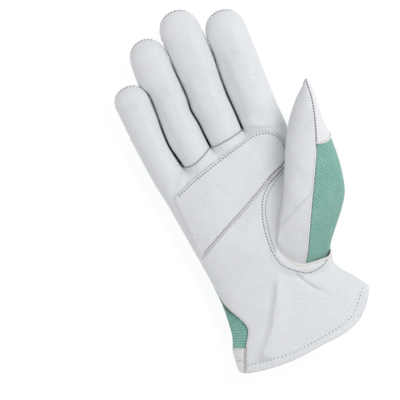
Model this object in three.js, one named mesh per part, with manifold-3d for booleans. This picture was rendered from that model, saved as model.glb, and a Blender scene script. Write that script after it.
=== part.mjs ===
// Assembly glove for the right hand, size 10, lying palm up on its back.
// Millimetres. X runs from the little finger side to the thumb side, Y from the cuff to the fingertips, Z up.
import * as THREE from "three";
import Module from "manifold-3d";

const wasm = await Module();
wasm.setup();

// Sheets, and the gap kept between neighbouring pieces
const LEATHER = 1.2;
const KNIT = 1.0;
const GAP = 0.3;
const PATCH_GAP = 0.6;
// Height of the knit back over the floor: the back patch and one gap lie under it
const REST = LEATHER + PATCH_GAP;
const REST_EASE = 2.5;
// How square the cross-sections are: 1 is a plain ellipse
const BODY_SQUARE = 0.82;
const FINGER_SQUARE = 0.95;

// Body of the hand. Columns: y, left edge x, right edge x, middle height, rise to the palm, drop to the back
const BODY = [
  [-122, -48.5, 61.5, 19, 16, 18.2],
  [-105, -48, 61.3, 18, 15.2, 17.4],
  [-98, -47, 61.2, 17.6, 14.8, 16.6],
  [-89, -44, 60.6, 17, 14, 15.2],
  [-80, -43, 55, 16.5, 13.4, 13.6],
  [-71, -42.5, 47, 16, 13, 12.2],
  [-64, -42.5, 44, 15.8, 13, 11.8],
  [-57, -43, 43.4, 15.6, 13.4, 12.6],
  [-40, -45, 47, 15, 14.6, 15.4],
  [-20, -48, 50, 14.5, 15.6, 16.8],
  [0, -51, 50.5, 14.5, 15.4, 17],
  [20, -54, 49.5, 14.5, 14.2, 16.6],
  [38, -57.5, 48.4, 14.5, 12.8, 15],
  [60, -60, 47.5, 14.8, 11.6, 13.6],
];

// Lower edge of the cuff. Columns: place across the width from -1 to 1, y
const CUFF_EDGE = [
  [-1, -114],
  [-0.9, -116.5],
  [-0.66, -119],
  [-0.39, -120],
  [-0.11, -119],
  [0.16, -117],
  [0.43, -115.5],
  [0.62, -112.5],
  [0.76, -108],
  [0.89, -100],
  [0.95, -94],
  [1, -89],
];

// Where the fingers begin. Columns: place across (0 little finger edge, 4 index edge), y
const FINGER_BASE = [
  [0, 34],
  [0.5, 35.4],
  [0.85, 37.4],
  [1, 38],
  [1.15, 36.8],
  [1.35, 37],
  [1.6, 40],
  [1.85, 43.6],
  [2, 44.5],
  [2.2, 43.8],
  [2.5, 45],
  [2.8, 47],
  [3, 48],
  [3.25, 46.8],
  [4, 43],
];

// Side seams of the body, as degrees from the middle of the palm. Columns: y, little finger side, thumb side
const SIDE_SEAMS = [
  [-120, 72, 105],
  [-103, 58, 109],
  [-87, 50, 115],
  [-76, 58, 119],
  [-60, 84, 123],
  [-35, 94, 118],
  [-15, 95, 108],
  [0, 95, 105],
  [48, 95, 102],
];

// Column lines that run from the cuff to the three crotches, in degrees from the middle of the hand
const COLUMN_ANGLES = [-27.5, -2.5, 26];

// Fingers: y, left edge x, right edge x, middle height, rise, drop. The last row is where the rounded tip begins
const FINGERS = [
  {
    name: "little",
    capSeam: 69,
    tip: 107.5,
    rows: [
      [15, -54, -31, 14.2, 11.5, 12.6],
      [40, -58, -34, 14.2, 11.2, 12.2],
      [60, -60.5, -37.4, 14.6, 10.4, 11.2],
      [80, -62.5, -38.8, 15.8, 9.8, 10.4],
      [95, -63.8, -40.6, 17.2, 9.2, 9.6],
    ],
  },
  {
    name: "ring",
    capSeam: 99,
    tip: 135,
    rows: [
      [15, -30.6, -7.6, 14.2, 12.2, 13],
      [40, -33, -10.4, 14.2, 12, 12.6],
      [60, -36.2, -12.8, 14.6, 11.2, 11.8],
      [90, -37.8, -14.6, 16, 10.4, 10.8],
      [105, -39.8, -15.4, 17.2, 10, 10.2],
      [119, -42.2, -15.9, 18.6, 9.6, 9.8],
    ],
  },
  {
    name: "middle",
    capSeam: 111,
    tip: 146.5,
    rows: [
      [15, -7, 14.6, 14.2, 12.4, 13.2],
      [45, -9.6, 15.8, 14.2, 12.2, 12.8],
      [60, -11.6, 14.9, 14.6, 11.6, 12],
      [80, -13, 14.5, 15.4, 11, 11.4],
      [100, -13.7, 14.8, 16.6, 10.4, 10.6],
      [130, -15.1, 14.8, 19, 9.8, 10],
    ],
  },
  {
    name: "index",
    capSeam: 99,
    tip: 135,
    rows: [
      [15, 15.4, 49.2, 14.2, 12.2, 13],
      [45, 16.9, 47.6, 14.2, 12, 12.8],
      [60, 16.4, 46.6, 14.6, 11.4, 12],
      [80, 15.9, 46.5, 15.4, 10.8, 11.2],
      [100, 16, 46.6, 16.6, 10.4, 10.6],
      [118, 16.6, 46.4, 18.2, 9.8, 10],
    ],
  },
];

// Seams of a finger in degrees: from its palm middle to the front seam, and the width of the side strip
const FRONT_SEAM = { crotch: 66, tip: 84 };
const STRIP_WIDTH = { crotch: 66, end: 12 };
const OUTER_SEAM = { little: 95, index: 102 };
// The crotch is a U this deep; the palm blends into the fingers over this stretch of Y
const CROTCH_DEPTH = 4.5;
const BLEND = { below: 26, above: 6 };

// Thumb: rings from inside the palm to the tip, each through four points.
// Columns: step, then x y z of the palm-side seam, the leather side, the far seam and the knit side,
// then how straight the ring runs from leather side to seam and from seam to knit side (1 round, 2 straight)
const THUMB = [
  [0, 22.5, -61, 28.5, 9, -42, 31.5, 43, 7, 27.5, 51.5, -31, 14, 1.6, 0.8],
  [1, 29, -49, 36, 12, -34.5, 34.5, 46, 10, 28, 57.6, -35, 19.5, 1.7, 1.25],
  [2, 38, -30, 43.5, 19, -23, 37.5, 50, 13, 26.5, 68.6, -21.5, 25.5, 1.5, 1.4],
  [3, 50, -5, 49, 28, -4, 39.5, 57, 21, 24, 72.8, -3, 31, 1.2, 1.2],
  [4, 60, 16, 51.5, 37.2, 17.5, 39, 62.5, 32, 22, 73.8, 18, 34.5, 1, 1],
  [5, 66, 33, 50, 47, 37.5, 37.5, 66.5, 44, 22.5, 73, 38, 35.5, 1, 1],
  [6, 70, 50, 46.5, 59, 53.5, 37, 69.5, 55, 26.5, 74, 52, 36.5, 1, 1],
  [7, 71, 62.5, 42, 68.2, 62.5, 37, 71, 62.5, 32, 73.4, 62.5, 37, 1, 1],
];
const THUMB_TIP = [71, 66, 37];
const THUMB_CAP_STEP = 4.2;
// Straight run of the thumb tube through the palm, and its direction
const THUMB_IN = { deep: 8, along: [0.6, 0.12, 0.79] };

// Gathers of the knit back at the wrist. Each is a wave across the hand that fades up and down from the line
const GATHER = { y: -64, pitch: 11, height: 1.5, fade: 13, from: -36, to: 36 };

// Long soft folds and hollows. Columns: start x, start y, end x, end y, half width, height; side 1 palm, -1 back
const FOLDS = [
  { side: 1, at: [2, -62, -27, -110], half: 5, height: 1.9 },
  { side: 1, at: [21, -67, 34, -87], half: 4, height: 1.5 },
  { side: 1, at: [38, -64, 50, -84], half: 4, height: -1.2 },
  { side: 1, at: [-12, -20, 8, 28], half: 15, height: -1.6 },
  { side: -1, at: [-28, -56, -8, -28], half: 5, height: -1.0 },
  { side: -1, at: [6, -56, 24, -26], half: 5, height: -1.0 },
];

// Palm patch outline. Columns: place along from 0 to 1, lower x, lower y, upper x, upper y
const PALM_PATCH = [
  [0, -44.5, -29.4, -47.5, 19.8],
  [0.25, -24, -17.8, -29.6, 27.2],
  [0.5, -2.5, -6.8, -9, 34],
  [0.75, 17, 4, 11.5, 39.4],
  [0.92, 29.5, 9.8, 26.5, 42.7],
  [1, 37, 13.5, 36.3, 38.8],
];
// How far the end by the thumb bows out
const PALM_PATCH_BOW = 5.5;

// Back patch: a bowed rectangle with rounded corners
const BACK_PATCH = { x: -5.8, y: 0, halfWide: 38.5, halfTall: 24, cornerX: 0.19, cornerY: 0.3 };

// Mesh steps
const ACROSS = 8;
const SIDE_CELLS = 3;
const PALM_ROWS = 15;
const CUFF_BAND_ROWS = 3;
const CUFF_BAND_HEIGHT = 18;
const LOWER_FINGER_ROWS = [0.02, 0.07, 0.2, 0.42, 0.7, 1];
const UPPER_FINGER_ROWS = [0.45, 0.88, 1];
const TIP_ROWS = [0.3, 0.6, 0.82, 1];
const THUMB_ROWS = 14;
const THUMB_CELLS = 6;

const RAD = Math.PI / 180;
const mix = (a, b, t) => a + (b - a) * t;
const mix3 = (a, b, t) => [mix(a[0], b[0], t), mix(a[1], b[1], t), mix(a[2], b[2], t)];
const add3 = (a, b, s = 1) => [a[0] + b[0] * s, a[1] + b[1] * s, a[2] + b[2] * s];
const sub3 = (a, b) => [a[0] - b[0], a[1] - b[1], a[2] - b[2]];
const dot3 = (a, b) => a[0] * b[0] + a[1] * b[1] + a[2] * b[2];
const cross3 = (a, b) => [
  a[1] * b[2] - a[2] * b[1],
  a[2] * b[0] - a[0] * b[2],
  a[0] * b[1] - a[1] * b[0],
];
const unit3 = (a) => {
  const size = Math.hypot(...a) || 1;
  return [a[0] / size, a[1] / size, a[2] / size];
};
const clamp = (t) => Math.min(1, Math.max(0, t));
const ease = (t) => clamp(t) ** 2 * (3 - 2 * clamp(t));
const bump = (t) => Math.exp(-t * t);

// A smooth curve through one column of a table whose first column rises
function curve(table, column, t) {
  const last = table.length - 1;
  if (t <= table[0][0]) return table[0][column];
  if (t >= table[last][0]) return table[last][column];
  let i = 0;
  while (table[i + 1][0] < t) i += 1;
  const slope = (j) => {
    const a = table[Math.max(j - 1, 0)];
    const b = table[Math.min(j + 1, last)];
    return (b[column] - a[column]) / (b[0] - a[0]);
  };
  const span = table[i + 1][0] - table[i][0];
  const u = (t - table[i][0]) / span;
  const from = table[i][column];
  const to = table[i + 1][column];
  return (
    from * (2 * u ** 3 - 3 * u ** 2 + 1) +
    to * (3 * u ** 2 - 2 * u ** 3) +
    slope(i) * span * (u ** 3 - 2 * u ** 2 + u) +
    slope(i + 1) * span * (u ** 3 - u ** 2)
  );
}

// The floor presses the soft back flat
function settled(z) {
  const over = z - REST;
  if (over <= 0) return REST;
  return over < REST_EASE ? REST + over ** 2 / (2 * REST_EASE) : z - REST_EASE / 2;
}

// A point of an oval cross-section: angle in degrees from the palm middle (side 1) or the back middle (side -1)
function ovalPoint(table, side, angle, y, square) {
  const left = curve(table, 1, y);
  const right = curve(table, 2, y);
  const up = Math.cos(angle * RAD) * side;
  const reach = up > 0 ? curve(table, 4, y) : curve(table, 5, y);
  const height = curve(table, 3, y) + reach * Math.sign(up) * Math.abs(up) ** square;
  return [(left + right) / 2 + ((right - left) / 2) * Math.sin(angle * RAD), y, height];
}

// Angle across the body for a place from 0 (little finger edge) to 4 (thumb edge)
function bodyAngle(side, place, y) {
  const little = curve(SIDE_SEAMS, 1, y);
  const thumb = curve(SIDE_SEAMS, 2, y);
  const edges = side > 0 ? [-little, thumb] : [little - 180, 180 - thumb];
  const lines = [edges[0], ...COLUMN_ANGLES, edges[1]];
  const i = Math.min(3, Math.floor(place));
  return mix(lines[i], lines[i + 1], place - i);
}

// Angle of a finger's seam from its palm middle (side 1) or back middle (side -1); way is 0 at the crotch, 1 at the tip
function seamAngle(k, side, edge, way, closed) {
  const outer = (k === 0 && edge < 0) || (k === 3 && edge > 0);
  const start = outer ? OUTER_SEAM[FINGERS[k].name] : FRONT_SEAM.crotch;
  const front = mix(start, FRONT_SEAM.tip, clamp(way));
  if (side > 0) return front;
  const strip = outer || closed ? 0 : mix(STRIP_WIDTH.crotch, STRIP_WIDTH.end, clamp(way));
  return 180 - front - strip;
}

// Y of the finger base, and the share of the finger shape in the body near it
const baseY = (place) => curve(FINGER_BASE, 1, place);
const fingerShare = (rise) => ease((rise + BLEND.below) / (BLEND.below + BLEND.above));

// One raw point of finger k: turn goes -1 to 1 across the front or back, or 0 to 1 down a side strip
function rawFinger(k, zone, turn, y, way, closed) {
  const finger = FINGERS[k];
  const rise = y - baseY(k + (zone === "front" || zone === "back" ? (turn + 1) / 2 : zone === "right" ? 1 : 0));
  const share = fingerShare(rise);
  const edge = zone === "left" ? -1 : zone === "right" ? 1 : Math.sign(turn);
  if (zone === "front" || zone === "back") {
    const side = zone === "front" ? 1 : -1;
    const angle = turn * seamAngle(k, side, edge, way, closed);
    const own = ovalPoint(finger.rows, side, angle, y, FINGER_SQUARE);
    const body = ovalPoint(BODY, side, bodyAngle(side, k + (turn + 1) / 2, y), y, BODY_SQUARE);
    return mix3(body, own, share);
  }
  const front = seamAngle(k, 1, edge, way, closed);
  const back = 180 - seamAngle(k, -1, edge, way, closed);
  const own = ovalPoint(finger.rows, 1, edge * mix(front, back, turn), y, FINGER_SQUARE);
  const place = k + (edge > 0 ? 1 : 0);
  const top = ovalPoint(BODY, 1, bodyAngle(1, place, y), y, BODY_SQUARE);
  const under = ovalPoint(BODY, -1, bodyAngle(-1, place, y), y, BODY_SQUARE);
  return mix3(mix3(top, under, turn), own, share);
}

// Edges of neighbouring fingers run together into the U of the crotch
function joinShift(k, zone, edge, turn, y, way, closed) {
  const other = k + edge;
  if (other < 0 || other > 3) return [0, 0, 0];
  const open = clamp((y - baseY(k + (edge > 0 ? 1 : 0))) / CROTCH_DEPTH);
  const spread = Math.sqrt(1 - (1 - open) ** 2);
  if (spread >= 1) return [0, 0, 0];
  const flat = zone === "front" || zone === "back";
  const here = rawFinger(k, zone, flat ? edge : turn, y, way, closed);
  const mirror = zone === "left" ? "right" : zone === "right" ? "left" : zone;
  const there = rawFinger(other, mirror, flat ? -edge : turn, y, way, closed);
  return sub3(mix3(mix3(here, there, 0.5), here, spread), here);
}

// Outward rise of folds and gathers at a place of the palm or back
function foldHeight(side, x, y) {
  let height = 0;
  for (const fold of FOLDS.filter((f) => f.side === side)) {
    const [x0, y0, x1, y1] = fold.at;
    const length = Math.hypot(x1 - x0, y1 - y0);
    const along = ((x - x0) * (x1 - x0) + (y - y0) * (y1 - y0)) / length;
    const off = ((x - x0) * (y1 - y0) - (y - y0) * (x1 - x0)) / length;
    const ends = ease((along + fold.half) / (2 * fold.half)) * ease((length + fold.half - along) / (2 * fold.half));
    height += fold.height * bump(off / fold.half) * ends;
  }
  if (side < 0) {
    const wave = Math.cos((2 * Math.PI * (x + 0.12 * (y - GATHER.y))) / GATHER.pitch);
    const within = ease((x - GATHER.from + 6) / 6) * ease((GATHER.to + 6 - x) / 6);
    height += GATHER.height * wave * within * bump((y - GATHER.y) / GATHER.fade);
  }
  return height;
}

function shaped(side, point) {
  const [x, y, z] = point;
  const lifted = z + side * foldHeight(side, x, y);
  return [x, y, side < 0 ? settled(lifted) : lifted];
}

// A point of the body skin: place 0 to 4 across, way 0 at the cuff to 1 at the finger bases
function bodySkin(side, place, way) {
  const k = Math.min(3, Math.floor(place));
  const turn = (place - k) * 2 - 1;
  const spot = Math.sin(bodyAngle(side, place, -110) * RAD);
  const y = mix(curve(CUFF_EDGE, 1, spot), baseY(place), way);
  const zone = side > 0 ? "front" : "back";
  let point = rawFinger(k, zone, turn, y, 0, false);
  const share = fingerShare(y - baseY(place));
  if (share > 0) {
    const right = joinShift(k, zone, 1, 1, Math.min(y, baseY(k + 1)), 0, false);
    const left = joinShift(k, zone, -1, 1, Math.min(y, baseY(k)), 0, false);
    point = add3(point, right, turn > 0 ? turn ** 4 : 0);
    point = add3(point, left, turn < 0 ? turn ** 4 : 0);
  }
  return shaped(side, point);
}

// A point of finger k above its base
function fingerSkin(k, zone, turn, row) {
  const flat = zone === "front" || zone === "back";
  const place = k + (flat ? (turn + 1) / 2 : zone === "right" ? 1 : 0);
  const y = row.yAt(place);
  let point = rawFinger(k, zone, turn, y, row.way, row.closed);
  if (flat) {
    const edge = turn > 0 ? 1 : -1;
    point = add3(point, joinShift(k, zone, edge, 1, y, row.way, row.closed), turn ** 4);
  } else {
    const edge = zone === "right" ? 1 : -1;
    point = add3(point, joinShift(k, zone, edge, turn, y, row.way, row.closed));
  }
  return flat ? shaped(zone === "front" ? 1 : -1, point) : point;
}

// The rounded fingertip: turn -1 to 1 across, lift 0 to 1 towards the end
function tipSkin(k, side, turn, lift) {
  const finger = FINGERS[k];
  const start = finger.rows[finger.rows.length - 1];
  const [y, left, right, middle, rise, drop] = start;
  const across = turn * Math.sqrt(1 - lift ** 2 / 2);
  const ahead = lift * Math.sqrt(1 - turn ** 2 / 2);
  const out = Math.hypot(across, ahead) || 1e-9;
  const seam = side > 0 ? FRONT_SEAM.tip : 180 - FRONT_SEAM.tip;
  const angle = out * seam * RAD;
  const flat = Math.sin(angle);
  const up = Math.cos(angle) * side;
  return [
    (left + right) / 2 + ((right - left) / 2) * flat * (across / out),
    y + (finger.tip - y) * flat * (ahead / out),
    middle + (up > 0 ? rise : drop) * Math.sign(up) * Math.abs(up) ** FINGER_SQUARE,
  ];
}

// The whole skin as one mesh, so that neighbouring pieces share their seam points and directions
function makeSkin() {
  const points = [];
  const keys = new Map();
  const faces = [];
  const at = (key, make) => {
    if (!keys.has(key)) {
      keys.set(key, points.length);
      points.push(make());
    }
    return keys.get(key);
  };
  const face = (piece, ...corners) => {
    const ring = corners.filter((v, i) => v !== corners[(i + 1) % corners.length]);
    if (ring.length > 2) faces.push({ piece, ring });
  };
  const bandWay = (j) => {
    const y0 = -118;
    const band = CUFF_BAND_HEIGHT / (baseY(2) - y0);
    if (j <= CUFF_BAND_ROWS) return (band * j) / CUFF_BAND_ROWS;
    return mix(band, 1, (j - CUFF_BAND_ROWS) / (PALM_ROWS - CUFF_BAND_ROWS));
  };
  const bodyPoint = (side, i, j) => {
    const rim = i === 0 || i === 4 * ACROSS;
    const key = rim ? `rim ${i === 0 ? 0 : 4} ${j}` : `body ${side} ${i} ${j}`;
    return at(key, () => bodySkin(side, i / ACROSS, bandWay(j)));
  };
  for (const side of [1, -1]) {
    for (let j = 0; j < PALM_ROWS; j += 1) {
      const piece = side > 0 ? "palm_leather" : j < CUFF_BAND_ROWS ? "cuff_band" : "back_knit";
      for (let i = 0; i < 4 * ACROSS; i += 1) {
        const ring = [
          bodyPoint(side, i, j),
          bodyPoint(side, i + 1, j),
          bodyPoint(side, i + 1, j + 1),
          bodyPoint(side, i, j + 1),
        ];
        face(piece, ...(side > 0 ? ring : ring.reverse()));
      }
    }
  }
  const strips = ["fourchette_little_ring", "fourchette_ring_middle", "fourchette_middle_index"];
  FINGERS.forEach((finger, k) => {
    const start = finger.rows[finger.rows.length - 1][0];
    const low = LOWER_FINGER_ROWS.map((f) => ({ yAt: (place) => mix(baseY(place), finger.capSeam, f) }));
    const high = UPPER_FINGER_ROWS.map((f) => ({ yAt: () => mix(finger.capSeam, start, f) }));
    const rows = [...low, ...high];
    const span = start - baseY(k + 0.5);
    rows.forEach((row, r) => {
      row.way = (row.yAt(k + 0.5) - baseY(k + 0.5)) / span;
      row.closed = r === rows.length - 1;
    });
    const capFrom = low.length - 1;
    const total = rows.length + TIP_ROWS.length;
    const open = (edge, r) => k + edge >= 0 && k + edge <= 3 && r < rows.length - 1;
    // One point of the finger's ring: edges are shared where there is no strip between front and back
    const spot = (zone, i, n, r) => {
      const flat = zone === "front" || zone === "back";
      const side = zone === "front" ? 1 : -1;
      const edge = flat ? (i === 0 ? -1 : i === n ? 1 : 0) : zone === "right" ? 1 : -1;
      if (!flat && i === 0) return spot("front", edge > 0 ? ACROSS : 0, ACROSS, r);
      if (!flat && i === n) return spot("back", edge > 0 ? ACROSS : 0, ACROSS, r);
      if (r < 0) {
        if (flat) return bodyPoint(side, k * n + i, PALM_ROWS);
        const gap = k + (edge > 0 ? 1 : 0);
        return at(`web ${gap} ${i}`, () =>
          fingerSkin(k, zone, i / n, { yAt: baseY, way: 0, closed: false }),
        );
      }
      const shared = flat && edge !== 0 && !open(edge, r);
      const key = shared ? `join ${k} ${edge} ${r}` : `${zone} ${k} ${i} ${r}`;
      return at(key, () => {
        if (r >= rows.length) return tipSkin(k, shared ? 1 : side, (2 * i) / n - 1, TIP_ROWS[r - rows.length]);
        return fingerSkin(k, shared ? "front" : zone, flat ? (2 * i) / n - 1 : i / n, rows[r]);
      });
    };
    const front = k === 1 ? "ring_front" : k === 2 ? "middle_front" : "palm_leather";
    for (const side of [1, -1]) {
      const n = ACROSS;
      // Both sides meet along the rounded end
      const pick = (i, r) => spot(side > 0 || r === total - 1 ? "front" : "back", i, n, r);
      for (let r = -1; r < total - 1; r += 1) {
        const piece = side > 0 ? front : r < capFrom ? "back_knit" : `cap_${finger.name}`;
        for (let i = 0; i < n; i += 1) {
          const ring = [pick(i, r), pick(i + 1, r), pick(i + 1, r + 1), pick(i, r + 1)];
          face(piece, ...(side > 0 ? ring : ring.reverse()));
        }
      }
    }
    for (const edge of [-1, 1]) {
      const gap = k + (edge > 0 ? 0 : -1);
      if (gap < 0 || gap > 2) continue;
      const zone = edge > 0 ? "right" : "left";
      const end = rows.length - 2;
      for (let r = -1; r < end; r += 1) {
        for (let i = 0; i < SIDE_CELLS; i += 1) {
          const ring = [
            spot(zone, i, SIDE_CELLS, r),
            spot(zone, i + 1, SIDE_CELLS, r),
            spot(zone, i + 1, SIDE_CELLS, r + 1),
            spot(zone, i, SIDE_CELLS, r + 1),
          ];
          face(strips[gap], ...(edge > 0 ? ring : ring.reverse()));
        }
      }
      // The cap closes the short stretch above the strip's end
      for (let i = 0; i < SIDE_CELLS; i += 1) {
        const ring = [
          spot(zone, i, SIDE_CELLS, end),
          spot(zone, i + 1, SIDE_CELLS, end),
          spot("front", edge > 0 ? ACROSS : 0, ACROSS, end + 1),
        ];
        face(`cap_${finger.name}`, ...(edge > 0 ? ring : ring.reverse()));
      }
    }
  });
  return { points, faces };
}

// The thumb skin: four quarter arcs a ring, with a crease at the two seams
function thumbPoint(step, quarter, turn) {
  const read = (column) => [0, 1, 2].map((n) => curve(THUMB, column + n, step));
  const ends = [read(1), read(4), read(7), read(10)];
  const middle = mix3(ends[0], ends[2], 0.5);
  const from = sub3(ends[quarter], middle);
  const to = sub3(ends[(quarter + 1) % 4], middle);
  const angle = (turn * Math.PI) / 2;
  const straight = [curve(THUMB, 13, step), 1, 1, curve(THUMB, 14, step)][quarter];
  return add3(add3(middle, from, Math.cos(angle) ** straight), to, Math.sin(angle) ** straight);
}

function makeThumb() {
  const points = [];
  const faces = [];
  const keys = new Map();
  const around = 4 * THUMB_CELLS;
  const last = THUMB.length - 1;
  const along = unit3(THUMB_IN.along);
  const at = (i, j) => {
    const key = j > THUMB_ROWS ? "tip" : `${i % around} ${j}`;
    if (!keys.has(key)) {
      const quarter = Math.floor((i % around) / THUMB_CELLS);
      const turn = ((i % around) % THUMB_CELLS) / THUMB_CELLS;
      const ring = thumbPoint(Math.max(0, ((j - 1) / (THUMB_ROWS - 1)) * last), quarter, turn);
      keys.set(key, points.length);
      points.push(j > THUMB_ROWS ? THUMB_TIP : j === 0 ? add3(ring, along, -THUMB_IN.deep) : ring);
    }
    return keys.get(key);
  };
  for (let j = 0; j <= THUMB_ROWS; j += 1) {
    const step = ((j - 0.5) / (THUMB_ROWS - 1)) * last;
    for (let i = 0; i < around; i += 1) {
      const leather = i < around / 2;
      const piece = leather ? "thumb_front" : step > THUMB_CAP_STEP ? "thumb_cap" : "thumb_back";
      const ring = [at(i, j), at(i + 1, j), at(i + 1, j + 1), at(i, j + 1)].reverse();
      faces.push({ piece, ring: ring.filter((v, n) => v !== ring[(n + 1) % ring.length]) });
    }
  }
  const base = Array.from({ length: around }, (_, i) => at(i, 0));
  return { points, faces, base };
}

// Outward direction at every point of a skin
function directions({ points, faces }) {
  const sums = points.map(() => [0, 0, 0]);
  for (const { ring } of faces) {
    const [a, b, c] = ring.map((v) => points[v]);
    const d = points[ring[3] ?? ring[0]];
    const area = cross3(sub3(c, a), sub3(d === points[ring[0]] ? b : d, d === points[ring[0]] ? a : b));
    const facing = ring.length === 3 ? cross3(sub3(b, a), sub3(c, a)) : area;
    ring.forEach((v) => (sums[v] = add3(sums[v], facing)));
  }
  return sums.map(unit3);
}

// One sheet of the given thickness under a set of skin faces, drawn back from its seams by half a gap
function sheet(skin, outward, faces, thickness, raise = 0) {
  const edges = new Map();
  for (const { ring } of faces) {
    ring.forEach((v, i) => {
      const w = ring[(i + 1) % ring.length];
      if (edges.has(`${w} ${v}`)) edges.delete(`${w} ${v}`);
      else edges.set(`${v} ${w}`, [v, w]);
    });
  }
  const rims = [...edges.values()];
  const inward = new Map();
  for (const [v, w] of rims) {
    const step = sub3(skin.points[w], skin.points[v]);
    for (const end of [v, w]) {
      const inside = unit3(cross3(outward[end], step));
      inward.set(end, [...(inward.get(end) ?? []), inside]);
    }
  }
  const place = new Map();
  const outer = [];
  const inner = [];
  const put = (v) => {
    if (place.has(v)) return place.get(v);
    let point = add3(skin.points[v], outward[v], raise);
    if (inward.has(v)) {
      const [a, b] = inward.get(v);
      const both = add3(a, b ?? a);
      point = add3(point, both, (GAP * 0.7) / Math.max(0.5, 1 + dot3(a, b ?? a)));
    }
    place.set(v, outer.length);
    outer.push(point);
    inner.push(add3(point, outward[v], -thickness));
    return place.get(v);
  };
  const triangles = [];
  for (const { ring } of faces) {
    const [a, b, c, d] = ring.map(put);
    triangles.push([a, b, c]);
    if (ring.length > 3) triangles.push([a, c, d]);
  }
  const n = outer.length;
  const under = triangles.map(([a, b, c]) => [n + a, n + c, n + b]);
  const walls = rims.flatMap(([v, w]) => {
    const a = place.get(v);
    const b = place.get(w);
    return [
      [b, a, n + a],
      [b, n + a, n + b],
    ];
  });
  return { points: [...outer, ...inner], triangles: [...triangles, ...under, ...walls] };
}

const toSolid = ({ points, triangles }) =>
  new wasm.Manifold(
    new wasm.Mesh({
      numProp: 3,
      vertProperties: new Float32Array(points.flat()),
      triVerts: new Uint32Array(triangles.flat()),
    }),
  );

// The room the thumb takes up, a little wider than the thumb itself: it opens the palm leather
function thumbRoom(skin, outward) {
  const around = 4 * THUMB_CELLS;
  const points = skin.points.map((p, v) => add3(p, outward[v], GAP + 0.1));
  const triangles = skin.faces.flatMap(({ ring: [a, b, c, d] }) =>
    d === undefined ? [[a, b, c]] : [[a, b, c], [a, c, d]],
  );
  const base = skin.base;
  const middle = base.reduce((sum, v) => add3(sum, points[v], 1 / around), [0, 0, 0]);
  points.push(middle);
  base.forEach((v, i) => triangles.push([v, base[(i + 1) % around], points.length - 1]));
  return { points, triangles };
}

// A patch that follows the skin of the palm or back: finds the skin place under each x, y
function skinUnder(side, x, y) {
  let place = 2;
  let way = 0.7;
  const step = 0.01;
  for (let turn = 0; turn < 24; turn += 1) {
    const here = bodySkin(side, place, way);
    const across = bodySkin(side, place + step, way);
    const ahead = bodySkin(side, place, way + step);
    const a = (across[0] - here[0]) / step;
    const b = (ahead[0] - here[0]) / step;
    const c = (across[1] - here[1]) / step;
    const d = (ahead[1] - here[1]) / step;
    const size = a * d - b * c;
    const move = ((x - here[0]) * d - (y - here[1]) * b) / size;
    const rise = ((y - here[1]) * a - (x - here[0]) * c) / size;
    place = Math.min(3.9, Math.max(0.001, place + Math.min(0.4, Math.max(-0.4, move))));
    way = Math.min(0.98, Math.max(0.02, way + Math.min(0.1, Math.max(-0.1, rise))));
  }
  return bodySkin(side, place, way);
}

function patch(side, columns, rows, spot) {
  const points = [];
  const faces = [];
  for (let j = 0; j <= rows; j += 1) {
    for (let i = 0; i <= columns; i += 1) {
      const [x, y] = spot(i / columns, j / rows);
      points.push(skinUnder(side, x, y));
    }
  }
  for (let j = 0; j < rows; j += 1) {
    for (let i = 0; i < columns; i += 1) {
      const a = j * (columns + 1) + i;
      const ring = [a, a + 1, a + columns + 2, a + columns + 1];
      faces.push({ piece: "patch", ring: side > 0 ? ring : ring.reverse() });
    }
  }
  const skin = { points, faces };
  return sheet(skin, directions(skin), faces, LEATHER, PATCH_GAP + LEATHER);
}

const palmPatchSpot = (u, v) => [
  mix(curve(PALM_PATCH, 1, u), curve(PALM_PATCH, 3, u), v) + PALM_PATCH_BOW * 4 * v * (1 - v) * u ** 8,
  mix(curve(PALM_PATCH, 2, u), curve(PALM_PATCH, 4, u), v),
];

const backPatchSpot = (u, v) => {
  const p = 2 * u - 1;
  const q = 2 * v - 1;
  return [
    BACK_PATCH.x + BACK_PATCH.halfWide * p * Math.sqrt(1 - BACK_PATCH.cornerX * q ** 4),
    BACK_PATCH.y + BACK_PATCH.halfTall * q * Math.sqrt(1 - BACK_PATCH.cornerY * p ** 4),
  ];
};

const COLOURS = { leather: 0xdedfe0, knit: 0x8fc0b0 };
const KNIT_PIECES = ["back_knit", "thumb_back"];

const solids = new Map();
const thumb = makeThumb();
for (const skin of [makeSkin(), thumb]) {
  const outward = directions(skin);
  for (const name of new Set(skin.faces.map((f) => f.piece))) {
    const faces = skin.faces.filter((f) => f.piece === name);
    solids.set(name, sheet(skin, outward, faces, KNIT_PIECES.includes(name) ? KNIT : LEATHER));
  }
}
const room = toSolid(thumbRoom(thumb, directions(thumb)));
const palm = toSolid(solids.get("palm_leather")).subtract(room).getMesh();
const corner = (v) => [...palm.vertProperties.subarray(v * palm.numProp, v * palm.numProp + 3)];
solids.set("palm_leather", {
  points: Array.from({ length: palm.numVert }, (_, v) => corner(v)),
  triangles: Array.from({ length: palm.numTri }, (_, t) => [...palm.triVerts.subarray(3 * t, 3 * t + 3)]),
});
solids.set("palm_patch", patch(1, 14, 6, palmPatchSpot));
solids.set("back_patch", patch(-1, 12, 8, backPatchSpot));

// The origin is the middle of the underside of the whole glove
const box = new THREE.Box3();
for (const { points } of solids.values()) points.forEach((p) => box.expandByPoint(new THREE.Vector3(...p)));
const origin = [(box.min.x + box.max.x) / 2, (box.min.y + box.max.y) / 2, box.min.z];

const glove = new THREE.Group();
glove.name = "assembly_glove";
for (const [name, { points, triangles }] of solids) {
  const geometry = new THREE.BufferGeometry();
  const placed = points.flatMap((p) => sub3(p, origin));
  geometry.setAttribute("position", new THREE.BufferAttribute(new Float32Array(placed), 3));
  geometry.setIndex(triangles.flat());
  geometry.computeVertexNormals();
  const colour = KNIT_PIECES.includes(name) ? COLOURS.knit : COLOURS.leather;
  const mesh = new THREE.Mesh(geometry, new THREE.MeshStandardMaterial({ color: colour, roughness: 0.85 }));
  mesh.name = name;
  glove.add(mesh);
}

export default glove;
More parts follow.
